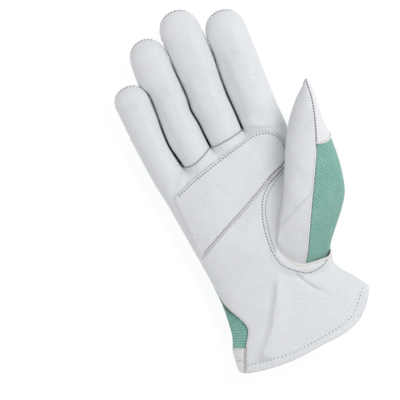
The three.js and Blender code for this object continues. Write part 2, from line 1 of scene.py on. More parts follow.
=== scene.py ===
"""Assembly glove for the right hand, lying palm up on its back: sheets, seams and stitches of the part.

Drawing units are millimetres in the palm view, and turn into the part's metres in one place.
"""

import math

import bmesh
import bpy
import numpy as np
from mathutils import Matrix, Vector
from mathutils.bvhtree import BVHTree


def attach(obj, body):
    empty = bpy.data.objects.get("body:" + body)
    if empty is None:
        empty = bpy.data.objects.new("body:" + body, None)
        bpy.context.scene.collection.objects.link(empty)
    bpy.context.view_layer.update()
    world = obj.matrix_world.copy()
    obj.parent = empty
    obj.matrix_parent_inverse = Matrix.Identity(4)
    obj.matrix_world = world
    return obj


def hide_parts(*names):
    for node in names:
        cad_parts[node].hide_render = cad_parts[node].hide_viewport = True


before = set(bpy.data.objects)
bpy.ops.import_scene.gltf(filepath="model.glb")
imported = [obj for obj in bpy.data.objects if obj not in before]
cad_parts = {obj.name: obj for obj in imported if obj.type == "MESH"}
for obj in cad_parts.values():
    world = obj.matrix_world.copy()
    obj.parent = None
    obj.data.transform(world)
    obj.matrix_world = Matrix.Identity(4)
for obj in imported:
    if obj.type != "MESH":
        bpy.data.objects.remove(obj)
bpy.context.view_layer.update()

# Drawing millimetres to part metres, and how near two points of one sheet touch
MM = 0.001
ORIGIN = np.array([5.109, 13.2675, 0.0])
TOUCHING = 0.02 * MM

# Thickness of the sheets
LEATHER = 1.1
THIN_LEATHER = 0.8
LABEL_LEATHER = 1.5
KNIT = 1.0

# Height at which the back lies flat, and the height over which it eases into that
REST = 1.85
REST_EASE = 2.5
ABOVE_GLOVE = 60.0
BELOW_GLOVE = -20.0
HALF_HEIGHT = 14.5

# How square the sections are: 1 is an oval, less is fuller
BODY_SQUARE = 0.82
FINGER_SQUARE = 0.95

# Body of the hand. Columns: y, left edge x, right edge x, middle height, rise to the palm, drop to the back
BODY = [
    [-122, -48.5, 61.5, 19, 16, 18.2],
    [-105, -48, 61.3, 18, 15.2, 17.4],
    [-98, -47, 61.2, 17.6, 14.8, 16.6],
    [-89, -44, 60.6, 17, 14, 15.2],
    [-80, -43, 55, 16.5, 13.4, 13.6],
    [-71, -42.5, 47, 16, 13, 12.2],
    [-64, -42.5, 44, 15.8, 13, 11.8],
    [-57, -43, 43.4, 15.6, 13.4, 12.6],
    [-40, -45, 47, 15, 14.6, 15.4],
    [-20, -48, 50, 14.5, 15.6, 16.8],
    [0, -51, 50.5, 14.5, 15.4, 17],
    [20, -54, 49.5, 14.5, 14.2, 16.6],
    [38, -57.5, 48.4, 14.5, 12.8, 15],
    [60, -60, 47.5, 14.8, 11.6, 13.6],
]

# Lower edge of the cuff. Columns: place across the width from -1 to 1, y
CUFF_EDGE = [
    [-1, -114], [-0.9, -116.5], [-0.66, -119], [-0.39, -120], [-0.11, -119], [0.16, -117],
    [0.43, -115.5], [0.62, -112.5], [0.76, -108], [0.89, -100], [0.95, -94], [1, -89],
]

# Where the fingers begin. Columns: place across (0 little finger edge, 4 index edge), y
FINGER_BASE = [
    [0, 34], [0.5, 35.4], [0.85, 37.4], [1, 38], [1.15, 36.8], [1.35, 37], [1.6, 40], [1.85, 43.6],
    [2, 44.5], [2.2, 43.8], [2.5, 45], [2.8, 47], [3, 48], [3.25, 46.8], [4, 43],
]

# Side seams of the body in degrees from the middle of the palm. Columns: y, little finger side, thumb side
SIDE_SEAMS = [
    [-120, 72, 105], [-103, 58, 109], [-87, 50, 115], [-76, 58, 119], [-60, 84, 123],
    [-35, 94, 118], [-15, 95, 108], [0, 95, 105], [48, 95, 102],
]
COLUMN_ANGLES = [-27.5, -2.5, 26]

# Fingers: y, left edge x, right edge x, middle height, rise, drop. The rounded tip begins at the last row
FINGERS = [
    {"name": "little", "cap": 69, "tip": 107.5, "rows": [
        [15, -54, -31, 14.2, 11.5, 12.6], [40, -58, -34.3, 14.2, 11.2, 12.2],
        [55, -59.9, -37.4, 14.4, 10.6, 11.5], [66, -61.2, -38, 14.9, 10.2, 11],
        [80, -62.5, -37.6, 15.8, 9.8, 10.4], [95, -63.8, -38, 17.2, 9.2, 9.6]]},
    {"name": "ring", "cap": 99, "tip": 135, "rows": [
        [15, -30.6, -7.6, 14.2, 12.2, 13], [40, -33.2, -9.6, 14.2, 12, 12.6],
        [55, -36.7, -10.8, 14.5, 11.4, 12], [64, -37.3, -11.6, 14.7, 11.1, 11.7],
        [74.5, -37.2, -13.4, 15.1, 10.8, 11.3], [83, -37.1, -12.9, 15.6, 10.6, 11],
        [91, -37, -13.1, 16.1, 10.4, 10.8], [97, -38.1, -13.5, 16.6, 10.2, 10.5],
        [103, -41.4, -13.9, 17, 10, 10.3], [109, -42.4, -14.1, 17.5, 9.9, 10.1],
        [119, -42.2, -14.6, 18.6, 9.6, 9.8]]},
    {"name": "middle", "cap": 111, "tip": 146.5, "rows": [
        [15, -7, 14.6, 14.2, 12.4, 13.2], [45, -9.1, 16, 14.2, 12.2, 12.8],
        [55, -10.2, 16.1, 14.4, 11.8, 12.3], [64, -11, 15.7, 14.7, 11.5, 11.9],
        [74.5, -12.8, 15.05, 15.2, 11.2, 11.5], [83, -12.3, 15, 15.6, 10.9, 11.2],
        [92, -12.5, 15.2, 16.1, 10.6, 10.9], [101, -13.3, 15.9, 16.7, 10.4, 10.6],
        [112, -13.9, 16, 17.5, 10.2, 10.4], [121, -14.6, 15.7, 18.2, 10, 10.2],
        [130, -15.1, 15.1, 19, 9.8, 10]]},
    {"name": "index", "cap": 99, "tip": 135, "rows": [
        [15, 15.4, 49.2, 14.2, 12.2, 13], [45, 17, 47.6, 14.2, 12, 12.8],
        [57, 16.8, 46.7, 14.5, 11.5, 12.1], [66, 16.3, 46.6, 14.8, 11.2, 11.7],
        [75, 15.75, 46.5, 15.2, 11, 11.4], [84, 15.6, 46.5, 15.6, 10.8, 11.1],
        [92, 15.8, 46.6, 16.1, 10.6, 10.8], [102, 16.4, 46.6, 16.7, 10.4, 10.5],
        [110, 16.4, 46.5, 17.5, 10.1, 10.2], [118, 16, 46.4, 18.2, 9.8, 10]]},
]
LITTLE, RING, MIDDLE, INDEX = range(4)

# Seams of the fingers and widths of the side strips, in degrees round a finger
FRONT_SEAM = {"palm": 46, "crotch": 86, "tip": 87}
STRIP_WIDTH = {"crotch": 46, "end": 7}
STRIPS_CLOSE = 0.97
OUTER_SEAM = {LITTLE: 95, INDEX: 102}

# How far the seams drop below a crotch, how deep its U is, and where a finger blends into the body
SEAM_DROP = 9
CROTCH_DEPTH = 4.5
BLEND_BELOW = 26
BLEND_ABOVE = 6

# Thumb: rings from the palm to the tip, each through four points.
# Columns: step, then x y z of the palm-side seam, the leather side, the far seam and the knit side,
# then how straight the ring runs from leather side to seam and from seam to knit side (1 round, 2 straight)
THUMB = [
    [0, 22.5, -61, 28.5, 9, -42, 31.5, 43, 7, 27.5, 51.5, -32, 14, 1.6, 0.62],
    [1, 29, -49, 36, 12, -34.5, 34.5, 46, 10, 28, 57.6, -35, 19.5, 1.7, 1.35],
    [2, 38, -30, 43.5, 19, -23, 37.5, 50, 13, 26.5, 68.6, -21.5, 25.5, 1.5, 1.4],
    [3, 50, -5, 49, 28, -4, 39.5, 57, 21, 24, 72.8, -3, 31, 1.2, 1.2],
    [4, 60, 16, 51.5, 37.2, 17.5, 39, 62.5, 32, 22, 73.8, 18, 34.5, 1, 1],
    [5, 66, 33, 50, 47, 37.5, 37.5, 66.5, 44, 22.5, 73, 38, 35.5, 1, 1],
    [6, 70, 50, 46.5, 59, 53.5, 37, 69.5, 55, 26.5, 74, 52, 36.5, 1, 1],
    [7, 71, 62.5, 42, 68.2, 62.5, 37, 71, 62.5, 32, 73.4, 62.5, 37, 1, 1],
]
THUMB_TIP = np.array([71.6, 66.0, 37.0])
THUMB_TIP_ROUND = 0.52
THUMB_CAP_STEP = 4.2
THUMB_IN = 8.0
THUMB_SINK = 1.8
THUMB_ALONG = np.array([0.6, 0.12, 0.79]) / np.linalg.norm([0.6, 0.12, 0.79])

# Gathers of the knit back at the wrist
GATHER = {"y": -64, "pitch": 6.8, "height": 2.3, "fade": 14, "from": -38, "to": 36}

# Long soft folds and hollows: side (1 palm, -1 back), start x y, end x y, half width, height
FOLDS = [
    [1, 31, -68, 43, -86, 4.2, -0.8],
    [1, 6, -66, 2, -84, 4.0, -0.5],
    [1, -12, -20, 8, 28, 15, -1.6],
    [-1, -28, -56, -8, -28, 5, -1.0],
    [-1, 6, -56, 24, -26, 5, -1.0],
    [-1, -34, -71, -41, -97, 4, 0.9],
    [-1, -22, -71, -27, -98, 3.6, -0.9],
    [-1, -9, -71, -11, -96, 4, 0.8],
    [-1, 3, -71, 5, -98, 3.6, -0.9],
    [-1, 15, -71, 20, -97, 4, 0.9],
    [-1, 27, -70, 35, -94, 3.6, -0.9],
    [-1, -40, -55, -34, -36, 4, 0.8],
    [-1, -16, -57, -3, -34, 4, 0.8],
    [-1, 20, -56, 34, -34, 4, 0.8],
    [1, 19, 100, 20, 55, 4.6, -2.0],
    [1, -11.5, 94, -9.5, 56, 3.2, -1.3],
    [1, -36, 88, -32, 50, 3, -1.0],
    [1, 6.5, 134, 8, 62, 5, 0.7],
    [1, -22, 120, -18, 60, 4.5, 0.7],
    [1, -47, 96, -43, 50, 4, 0.5],
    [1, 35, 118, 36, 78, 5, 0.7],
    [1, 27, 54, 46, 46, 5, -1.1],
    [1, -33, 41, -46, 26, 2.6, -0.8],
    [1, -31, 37, -36, 24, 2, -0.6],
    [1, 22, 16, 37, 30, 5, -1.0],
]

# Sharp little creases in the leather, same columns
CREASES = [
    [1, 17, 49, 28, 44, 1.1, -0.9],
    [1, 28, 44, 44, 39, 1.2, -0.8],
    [1, 31, 75, 40, 68, 1.2, -0.5],
    [1, 26, 102, 36, 97, 1.6, -0.4],
    [1, 13, 11, 34, 22, 1.1, -0.6],
    [1, 8, 22, 24, 22.5, 0.9, -0.45],
    [1, 16, 25, 33, 31, 0.9, -0.4],
    [1, -18, 22, -12, 6, 1.0, -0.4],
    [1, -8, 24, -4, 10, 0.9, -0.3],
    [1, -34, 18, -27, 2, 0.9, -0.35],
    [1, -24, 88, -17, 82, 1.2, -0.35],
    [1, -6, 80, 4, 76, 1.2, -0.35],
]

# Long folds of the cuff, each a crest that falls away differently on its two sides: reach toward the
# little finger, reach toward the thumb, height, length of the fading ends, then places x, y along it
LONG_FOLDS = [
    {"little_side": 5.2, "thumb_side": 13, "height": 2.9, "fade_in": 15, "fade_out": 8, "line": [
        [4.5, -56], [0.2, -64.4], [-3.1, -71.7], [-7.4, -79.5], [-11.4, -86.6], [-15.4, -93.7],
        [-21.2, -100.9], [-26.4, -106.6], [-32, -113]]},
    {"little_side": 4.5, "thumb_side": 1.5, "height": -1.5, "fade_in": 9, "fade_out": 9, "line": [
        [13.5, -58], [18.2, -68.7], [22.7, -75.2], [27.3, -80.8], [35, -88]]},
]
CUFF_FOLDS_BELOW = -50

# Diagonal crease across the leather at the root of the thumb: start x y, end x y, then its two heights
THUMB_FOLD = [17, -27, 47, -11]
THUMB_FOLD_FULL = 1.7
THUMB_FOLD_FLAT = -0.5

# The palm leather laps over the root of the thumb, and a strip of it stays beside the side seam
LAP = 1.5
LAP_RISE = 1.9
LAP_DRAWN_IN = 2.4
SEAM_STRIP = 2.4

# The side strips swell so that neighbouring fingers touch halfway down
STRIP_SWELL = 1.1
STRIP_ENDS = 0.975

# The cuff band's share of the back, and its stitch line above the edge
CUFF_BAND = 18 / 162
BAND_STITCH = 8.5

# Palm patch outline. Columns: place along from 0 to 1, lower x, lower y, upper x, upper y
PALM_PATCH = [
    [0, -44.5, -29.4, -47.5, 19.8], [0.25, -24, -17.8, -29.6, 27.2], [0.5, -2.5, -6.8, -9, 34],
    [0.75, 17, 4, 11.5, 39.4], [0.92, 29.5, 9.8, 26.5, 42.7], [1, 37, 13.5, 36.3, 38.8],
]
PALM_PATCH_BOW = 5.5
PATCH_RISE = 0.9
BACK_PATCH = {"x": -5.8, "y": 0, "half_wide": 38.5, "half_tall": 24, "corner_x": 0.19, "corner_y": 0.3}

# Stitch lines on the palm leather and its patch: x, y
HEM_STITCH = [
    [-43.5, -111.5], [-39.9, -112], [-20.7, -114.3], [-2.2, -114.4], [17.4, -111.9], [32.4, -109.1],
    [42.4, -105.2], [51.2, -96.3], [56.5, -89],
]
THUMB_STITCH_OUTER = [
    [40, 12.6], [31.9, 10], [26, 7.4], [19.9, 4], [13.9, -1.5], [9.8, -8.6], [6.1, -20.7], [4.8, -32],
    [5, -42], [8, -53], [15, -60], [25, -65.5], [35, -64], [42, -60],
]
THUMB_STITCH_INNER = [
    [36, 9.3], [31.5, 7.7], [26.2, 5.4], [20.9, 1.6], [16.5, -2.5], [11.7, -10.3], [8.6, -21.7],
    [7.2, -33], [7, -43],
]
PATCH_STITCH_TOP = [
    [-44.9, 19.1], [-28.9, 25.6], [-11.2, 31.4], [-0.1, 34.9], [10.4, 37.6], [20.4, 40.3], [28.1, 40.4],
    [33.5, 38.4], [36.6, 35.6], [39.1, 31.2], [39.9, 25.8], [39.6, 20],
]
PATCH_STITCH_LOW = [
    [-42, -25.5], [-37.9, -23.2], [-12.4, -9.7], [5.7, -0.3], [21.9, 9], [33.2, 13.8], [38, 17],
]
PATCH_STITCH_LONG = [[19, 7.2], [26, 10.9], [33.2, 13.8], [37, 16]]

# Stitches in a row: their pitch, and half the length, width and height of a thread or needle hole
STITCH_PITCH = 2.1
HEM_PITCH = 2.9
THREAD_SIZE = (0.6, 0.28, 0.2)
HOLE_SIZE = (0.43, 0.48, 0.16)
LONG_HOLE = (0.36, 1.05, 0.16)
BEAD_LIFT = 0.02

# Camera straight above the glove, and the stretch of the floor that its picture takes in
PICTURE_WIDTH = 288.9 * MM
PICTURE_MIDDLE = (-30.3, 11.65, 18)
PICTURE_TURN = -21.0
FAR = 3.0
SENSOR = 36

# How finely the sheets are drawn
ACROSS = 30
BODY_ROWS = 190
FINGER_ROWS = 56
TIP_ROWS = 16
STRIP_COLUMNS = 16
OPENING_POINTS = 96
CLOSER_AT_BASE = 1.25
NO_CLOSER = 0.004


def curve(table, column, t):
    """A smooth curve through one column of a table whose first column rises."""
    rows = np.array(table, dtype=float)
    x, y = rows[:, 0], rows[:, column]
    slope = np.empty_like(y)
    slope[1:-1] = (y[2:] - y[:-2]) / (x[2:] - x[:-2])
    slope[0] = (y[1] - y[0]) / (x[1] - x[0])
    slope[-1] = (y[-1] - y[-2]) / (x[-1] - x[-2])
    t = np.clip(t, x[0], x[-1])
    i = np.clip(np.searchsorted(x, t, side="right") - 1, 0, len(x) - 2)
    span = x[i + 1] - x[i]
    u = (t - x[i]) / span
    return (
        y[i] * (2 * u**3 - 3 * u**2 + 1)
        + y[i + 1] * (3 * u**2 - 2 * u**3)
        + slope[i] * span * (u**3 - 2 * u**2 + u)
        + slope[i + 1] * span * (u**3 - u**2)
    )


def mix(a, b, t):
    return a + (b - a) * t


def ease(t):
    t = np.clip(t, 0, 1)
    return t * t * (3 - 2 * t)


def bump(t):
    return np.exp(-t * t)


def stack(*parts):
    return np.stack(np.broadcast_arrays(*parts), axis=-1).astype(float)


def settled(z):
    """The floor presses the soft back flat."""
    over = z - REST
    eased = np.where(over < REST_EASE, REST + over**2 / (2 * REST_EASE), z - REST_EASE / 2)
    return np.where(over <= 0, REST, eased)


def oval(table, side, angle, y, square):
    """A point of an oval section, some degrees from the palm's middle (side 1) or the back's (side -1)."""
    left, right = curve(table, 1, y), curve(table, 2, y)
    turn = np.radians(angle)
    up = np.cos(turn) * side
    reach = np.where(up > 0, curve(table, 4, y), curve(table, 5, y))
    height = curve(table, 3, y) + reach * np.sign(up) * np.abs(up) ** square
    return stack((left + right) / 2 + (right - left) / 2 * np.sin(turn), y, height)


def body_angle(side, place, y):
    """Degrees from the middle of the palm or back. Place runs 0 to 4 from seam to seam, 1 a finger."""
    little, thumb = curve(SIDE_SEAMS, 1, y), curve(SIDE_SEAMS, 2, y)
    first = -little if side > 0 else little - 180
    last = thumb if side > 0 else 180 - thumb
    place = np.broadcast_to(place, np.shape(y))
    between = [np.full(np.shape(y), float(angle)) for angle in COLUMN_ANGLES]
    lines = np.stack([first] + between + [last])
    i = np.clip(np.floor(place).astype(int), 0, 3)
    low = np.take_along_axis(lines, i[None], 0)[0]
    high = np.take_along_axis(lines, i[None] + 1, 0)[0]
    return mix(low, high, place - i)


def seam_angle(k, side, edge, way, closed, rise=0.0):
    """Seam of a finger, from its palm middle or back middle. way is 0 at the crotch and 1 at the tip.

    Below the crotch, where rise is negative, the palm flattens out between the fingers.
    """
    outer = (k == LITTLE and edge < 0) or (k == INDEX and edge > 0)
    start = OUTER_SEAM[k] if outer else FRONT_SEAM["crotch"]
    if side > 0 and not outer:
        start = mix(FRONT_SEAM["palm"], start, ease((rise + SEAM_DROP) / SEAM_DROP))
    front = mix(start, FRONT_SEAM["tip"], np.clip(way, 0, 1))
    if side > 0:
        return front
    strip = mix(STRIP_WIDTH["crotch"], STRIP_WIDTH["end"], np.clip(way, 0, 1))
    strip = np.where(closed, 0, strip) if not outer else 0
    return 180 - front - strip


def base_y(place):
    """Where the fingers begin."""
    return curve(FINGER_BASE, 1, place)


def finger_share(rise):
    """How much of a point is finger and how much is body, by its rise above the finger's base."""
    return ease((rise + BLEND_BELOW) / (BLEND_BELOW + BLEND_ABOVE))


def raw_flat(k, side, turn, y, way, closed):
    """A point across the front or back of finger k, before neighbours join: turn goes -1 to 1."""
    place = k + (turn + 1) / 2
    rise = y - base_y(place)
    share = finger_share(rise)[..., None]
    angle = np.where(
        turn > 0,
        turn * seam_angle(k, side, 1, way, closed, rise),
        turn * seam_angle(k, side, -1, way, closed, rise),
    )
    own = oval(FINGERS[k]["rows"], side, angle, y, FINGER_SQUARE)
    body = oval(BODY, side, body_angle(side, place, y), y, BODY_SQUARE)
    return mix(body, own, share)


def raw_side(k, edge, turn, y, way, closed):
    """A point of the strip down a side of finger k: turn is 0 at the front seam and 1 at the back seam."""
    place = k + (1.0 if edge > 0 else 0.0)
    share = finger_share(y - base_y(place))[..., None]
    front = seam_angle(k, 1, edge, way, closed)
    back = 180 - seam_angle(k, -1, edge, way, closed)
    own = oval(FINGERS[k]["rows"], 1, edge * mix(front, back, turn), y, FINGER_SQUARE)
    top = oval(BODY, 1, body_angle(1, place, y), y, BODY_SQUARE)
    under = oval(BODY, -1, body_angle(-1, place, y), y, BODY_SQUARE)
    return mix(mix(top, under, stack(turn)), own, share)


def join_shift(k, side, edge, turn, y, way, closed):
    """How far an edge of finger k moves to meet its neighbour in the crotch's U. Side 0 is the strip."""
    other = k + edge
    if other < 0 or other > 3:
        return np.zeros(np.shape(y) + (3,))
    rise = np.clip((y - base_y(k + (1.0 if edge > 0 else 0.0))) / CROTCH_DEPTH, 0, 1)
    spread = np.sqrt(1 - (1 - rise) ** 2)[..., None]
    if side:
        ones = np.ones(np.shape(y))
        here = raw_flat(k, side, ones * edge, y, way, closed)
        there = raw_flat(other, side, -ones * edge, y, way, closed)
    else:
        here = raw_side(k, edge, turn, y, way, closed)
        there = raw_side(other, -edge, turn, y, way, closed)
    return mix((here + there) / 2, here, spread) - here


def beside_line(x, y, x0, y0, x1, y1):
    """Length of a straight line, and how far along it and to the right of it each place is."""
    length = math.hypot(x1 - x0, y1 - y0)
    along = ((x - x0) * (x1 - x0) + (y - y0) * (y1 - y0)) / length
    off = ((x - x0) * (y1 - y0) - (y - y0) * (x1 - x0)) / length
    return length, along, off


def long_fold_height(fold, x, y):
    """Height of a long fold: off is positive toward the thumb, measured from its nearest stretch."""
    nearest = np.full(np.shape(x), 1e9)
    off = np.zeros(np.shape(x))
    place = np.zeros(np.shape(x))
    before = 0.0
    for (x0, y0), (x1, y1) in zip(fold["line"], fold["line"][1:]):
        length, along, _ = beside_line(x, y, x0, y0, x1, y1)
        along = np.clip(along, 0, length)
        away_x = x - x0 - along * (x1 - x0) / length
        away_y = y - y0 - along * (y1 - y0) / length
        far = np.hypot(away_x, away_y)
        closer = far < nearest
        nearest = np.where(closer, far, nearest)
        turn = np.sign(away_y * (x1 - x0) - away_x * (y1 - y0))
        off = np.where(closer, far * turn, off)
        place = np.where(closer, before + along, place)
        before += length
    steep = np.clip(1 + off / fold["little_side"], 0, 1) ** 2
    gentle = 1 - ease(np.clip(off / fold["thumb_side"], 0, 1))
    ends = ease(place / fold["fade_in"]) * ease((before - place) / fold["fade_out"])
    return fold["height"] * np.where(off < 0, steep, gentle) * ends


def fold_height(side, x, y):
    """Folds, creases and, on the back, the gathers of the wrist."""
    height = np.zeros(np.shape(x))
    on_cuff = y < CUFF_FOLDS_BELOW
    if side > 0 and np.any(on_cuff):
        cuff = sum(long_fold_height(fold, x, y) for fold in LONG_FOLDS)
        height = height + np.where(on_cuff, cuff, 0.0)
    for which, x0, y0, x1, y1, half, rise in FOLDS + CREASES:
        if which != side:
            continue
        length, along, off = beside_line(x, y, x0, y0, x1, y1)
        ends = ease((along + half) / (2 * half)) * ease((length + half - along) / (2 * half))
        height = height + rise * bump(off / half) * ends
    if side < 0:
        lean = x + 0.12 * (y - GATHER["y"]) + 1.6 * np.sin(x * 0.21) + 0.9 * np.sin(x * 0.47 + 1)
        wave = 2 * np.abs(np.cos(np.pi * lean / GATHER["pitch"])) ** 0.8 - 1
        within = ease((x - GATHER["from"] + 6) / 6) * ease((GATHER["to"] + 6 - x) / 6)
        height = height + GATHER["height"] * wave * within * bump((y - GATHER["y"]) / GATHER["fade"])
    return height


def thumb_fold(points):
    """Height of the long diagonal crease at the thumb's root, with a fuller part above it."""
    length, along, below = beside_line(points[..., 0], points[..., 1], *THUMB_FOLD)
    on = ease((along + 4) / 8) * ease((length + 3 - along) / 12) * ease((points[..., 2] - 32) / 4)
    over = ease((1 - below) / 1.8)
    full = THUMB_FOLD_FULL * np.exp(-np.maximum(-below, 0) / 8.0) * over
    flat = THUMB_FOLD_FLAT * np.exp(np.minimum(-below, 0) / 5.0) * (1 - over)
    return on * (full + flat)


def shaped(side, point):
    """Folds raise the skin, and the back settles on the floor."""
    lifted = point[..., 2] + side * fold_height(side, point[..., 0], point[..., 1])
    point = point.copy()
    point[..., 2] = settled(lifted) if side < 0 else lifted
    return point


def body_skin(side, place, way):
    """The skin of the hand: place 0 to 4 across, way 0 at the cuff to 1 at the finger bases."""
    place, way = np.broadcast_arrays(np.asarray(place, float), np.asarray(way, float))
    spot = np.sin(np.radians(body_angle(side, place, np.full(place.shape, -110.0))))
    y = mix(curve(CUFF_EDGE, 1, spot), base_y(place), way)
    out = np.zeros(place.shape + (3,))
    column = np.clip(np.floor(place).astype(int), 0, 3)
    for k in range(4):
        pick = column == k
        if not pick.any():
            continue
        turn = (place[pick] - k) * 2 - 1
        point = raw_flat(k, side, turn, y[pick], 0.0, False)
        right = join_shift(k, side, 1, 1, np.minimum(y[pick], base_y(k + 1.0)), 0.0, False)
        left = join_shift(k, side, -1, 1, np.minimum(y[pick], base_y(float(k))), 0.0, False)
        lean = (turn**4)[:, None]
        point = point + np.where((turn > 0)[:, None], right, left) * lean
        out[pick] = point
    return shaped(side, out)


def finger_rows():
    """Rows of a finger from its base to the start of the round tip: closer together at the crotch."""
    return np.linspace(0, 1, FINGER_ROWS + 1) ** CLOSER_AT_BASE


def finger_y(k, place, step):
    """Rows lean with the finger bases at the crotch and are square across at the cap seam and above."""
    finger = FINGERS[k]
    start = finger["rows"][-1][0]
    level = base_y(k + 0.5)
    y = mix(level, start, step)
    lean = (base_y(place) - level) * ease(1 - (y - level) / (finger["cap"] - level))
    return y + lean


def finger_skin(k, side, turn, step):
    """The front or back of finger k above its base."""
    place = k + (turn + 1) / 2
    y = finger_y(k, place, step)
    closed = step > STRIPS_CLOSE
    point = raw_flat(k, side, turn, y, step, closed)
    for edge in (-1, 1):
        lean = np.where(turn * edge > 0, turn**4, 0)[..., None]
        point = point + join_shift(k, side, edge, 1, y, step, closed) * lean
    return shaped(side, point)


def strip_skin(k, edge, turn, step):
    """The strip down one side of finger k above the crotch."""
    y = finger_y(k, np.full(np.shape(step), k + (1.0 if edge > 0 else 0.0)), step)
    closed = step > STRIPS_CLOSE
    return raw_side(k, edge, turn, y, step, closed) + join_shift(k, 0, edge, turn, y, step, closed)


def tip_skin(k, side, turn, lift):
    """The rounded fingertip: turn -1 to 1 across, lift 0 to 1 towards the end."""
    y, left, right, middle, rise, drop = FINGERS[k]["rows"][-1]
    across = turn * np.sqrt(1 - lift**2 / 2)
    ahead = lift * np.sqrt(1 - turn**2 / 2)
    out = np.maximum(np.hypot(across, ahead), 1e-9)
    seam = FRONT_SEAM["tip"] if side > 0 else 180 - FRONT_SEAM["tip"]
    angle = np.radians(out * seam)
    flat, up = np.sin(angle), np.cos(angle) * side
    return stack(
        (left + right) / 2 + (right - left) / 2 * flat * across / out,
        y + (FINGERS[k]["tip"] - y) * flat * ahead / out,
        middle + np.where(up > 0, rise, drop) * np.sign(up) * np.abs(up) ** FINGER_SQUARE,
    )


def thumb_skin(quarter, step):
    """The thumb: quarter runs 0 to 4 round from the palm-side seam, step 0 at the palm to 8 at the tip."""
    ring = np.clip(step, 0, 7)
    corners = [stack(*[curve(THUMB, c + n, ring) for n in range(3)]) for c in (1, 4, 7, 10)]
    middle = (corners[0] + corners[2]) / 2
    corners = np.stack(corners)
    i = np.clip(np.floor(quarter).astype(int), 0, 3)
    turn = (quarter - i) * np.pi / 2
    index = i[None, ..., None] + np.zeros((1,) + i.shape + (3,), dtype=int)
    start = np.take_along_axis(corners, index, 0)[0] - middle
    after = np.take_along_axis(corners, (index + 1) % 4, 0)[0] - middle
    straight = np.where(i == 0, curve(THUMB, 13, ring), np.where(i == 3, curve(THUMB, 14, ring), 1.0))
    reach = start * (np.cos(turn) ** straight)[..., None] + after * (np.sin(turn) ** straight)[..., None]
    beyond = np.clip(step - 7, 0, 1)[..., None]
    flat = (1 - beyond) ** THUMB_TIP_ROUND
    narrowing = np.concatenate([flat, flat, np.sqrt(1 - beyond**2)], axis=-1)
    point = middle + reach * narrowing
    point = point + (THUMB_TIP - middle) * beyond
    point[..., 2] -= THUMB_SINK * ease(1 - np.maximum(step, 0) / 0.9)
    return point + np.minimum(step, 0)[..., None] * THUMB_IN * THUMB_ALONG


class Panel:
    """A rectangle of one sheet: a grid of outer points, their outward directions and lengths, in mm."""

    def __init__(self, points, flip=False):
        self.points = points
        self.flip = flip
        self.cloth = None
        self.measure()

    def measure(self):
        self.tree = None
        p = self.points
        self.right_way = np.linalg.norm(np.diff(p, axis=1), axis=2)
        self.up_way = np.linalg.norm(np.diff(p, axis=0), axis=2)
        zero_column = np.zeros((p.shape[0], 1))
        zero_row = np.zeros((1, p.shape[1]))
        self.from_left = np.concatenate([zero_column, np.cumsum(self.right_way, 1)], 1)
        self.from_right = self.from_left[:, -1:] - self.from_left
        self.from_low = np.concatenate([zero_row, np.cumsum(self.up_way, 0)], 0)
        self.from_top = self.from_low[-1:, :] - self.from_low
        self.away = {
            "left": self.from_left, "right": self.from_right, "low": self.from_low, "top": self.from_top,
        }
        du = np.gradient(p, axis=1)
        dv = np.gradient(p, axis=0)
        normal = np.cross(du, dv)
        size = np.linalg.norm(normal, axis=2, keepdims=True)
        normal = normal / np.maximum(size, 1e-9)
        self.normals = -normal if self.flip else normal

    def raise_by(self, height):
        """Moves the points outwards. The lengths stay until they are measured again."""
        self.points = self.points + self.normals * np.asarray(height)[..., None]
        return self

    def turn_in(self, left=0.0, right=0.0, low=0.0, top=0.0, reach=1.1):
        """Seam edges roll in: depth in mm at each edge, fading over reach."""
        shape = self.points.shape[:2]
        depth = np.zeros(shape)
        for edge, amount in (("left", left), ("right", right), ("low", low), ("top", top)):
            depth = np.maximum(depth, np.broadcast_to(amount, shape) * bump(self.away[edge] / reach))
        return self.raise_by(-depth)

    def line(self, edge, inset, start=0.0, end=1.0, lift=0.0):
        """Points and outward directions along a line that runs inset mm inside one edge."""
        away, p, n = self.away[edge], self.points, self.normals
        if edge in ("low", "top"):
            away, p, n = away.T, p.transpose(1, 0, 2), n.transpose(1, 0, 2)
        if edge in ("right", "top"):
            away, p, n = away[:, ::-1], p[:, ::-1], n[:, ::-1]
        spots = []
        for row in range(p.shape[0]):
            at = min(inset, away[row, -1] * 0.5)
            i = int(np.clip(np.searchsorted(away[row], at) - 1, 0, p.shape[1] - 2))
            t = (at - away[row, i]) / max(away[row, i + 1] - away[row, i], 1e-9)
            point, facing = mix(p[row, i], p[row, i + 1], t), mix(n[row, i], n[row, i + 1], t)
            spots.append(np.concatenate([point, facing]))
        spots = np.array(spots)
        first, last = int(start * (len(spots) - 1)), int(end * (len(spots) - 1))
        spots = spots[first : last + 1]
        return spots[:, :3] + spots[:, 3:] * lift, spots[:, 3:]


def lengths_along(points):
    """Distance along a line at each of its points."""
    steps = np.linalg.norm(np.diff(points, axis=0), axis=1)
    return np.concatenate([[0], np.cumsum(steps)])


def smooth_line(table, gap=1.0):
    """Places about gap mm apart along a smooth curve through x, y pairs."""
    pairs = np.array(table, dtype=float)
    length = lengths_along(pairs)
    rows = np.column_stack([length, pairs])
    at = np.linspace(0, length[-1], max(8, int(length[-1] / gap)))
    return curve(rows, 1, at), curve(rows, 2, at)


def line_distance(points, table):
    """Millimetres in plan from each point to a smooth line."""
    x, y = smooth_line(table, 0.35)
    flat = points.reshape(-1, 3)
    far = np.empty(len(flat))
    for first in range(0, len(flat), 4000):
        part = flat[first : first + 4000]
        far[first : first + 4000] = np.min(np.hypot(part[:, :1] - x, part[:, 1:2] - y), axis=1)
    return far.reshape(points.shape[:-1])


def to_part(points):
    """Drawing places in the part's own metres."""
    return (np.asarray(points) - ORIGIN) * MM


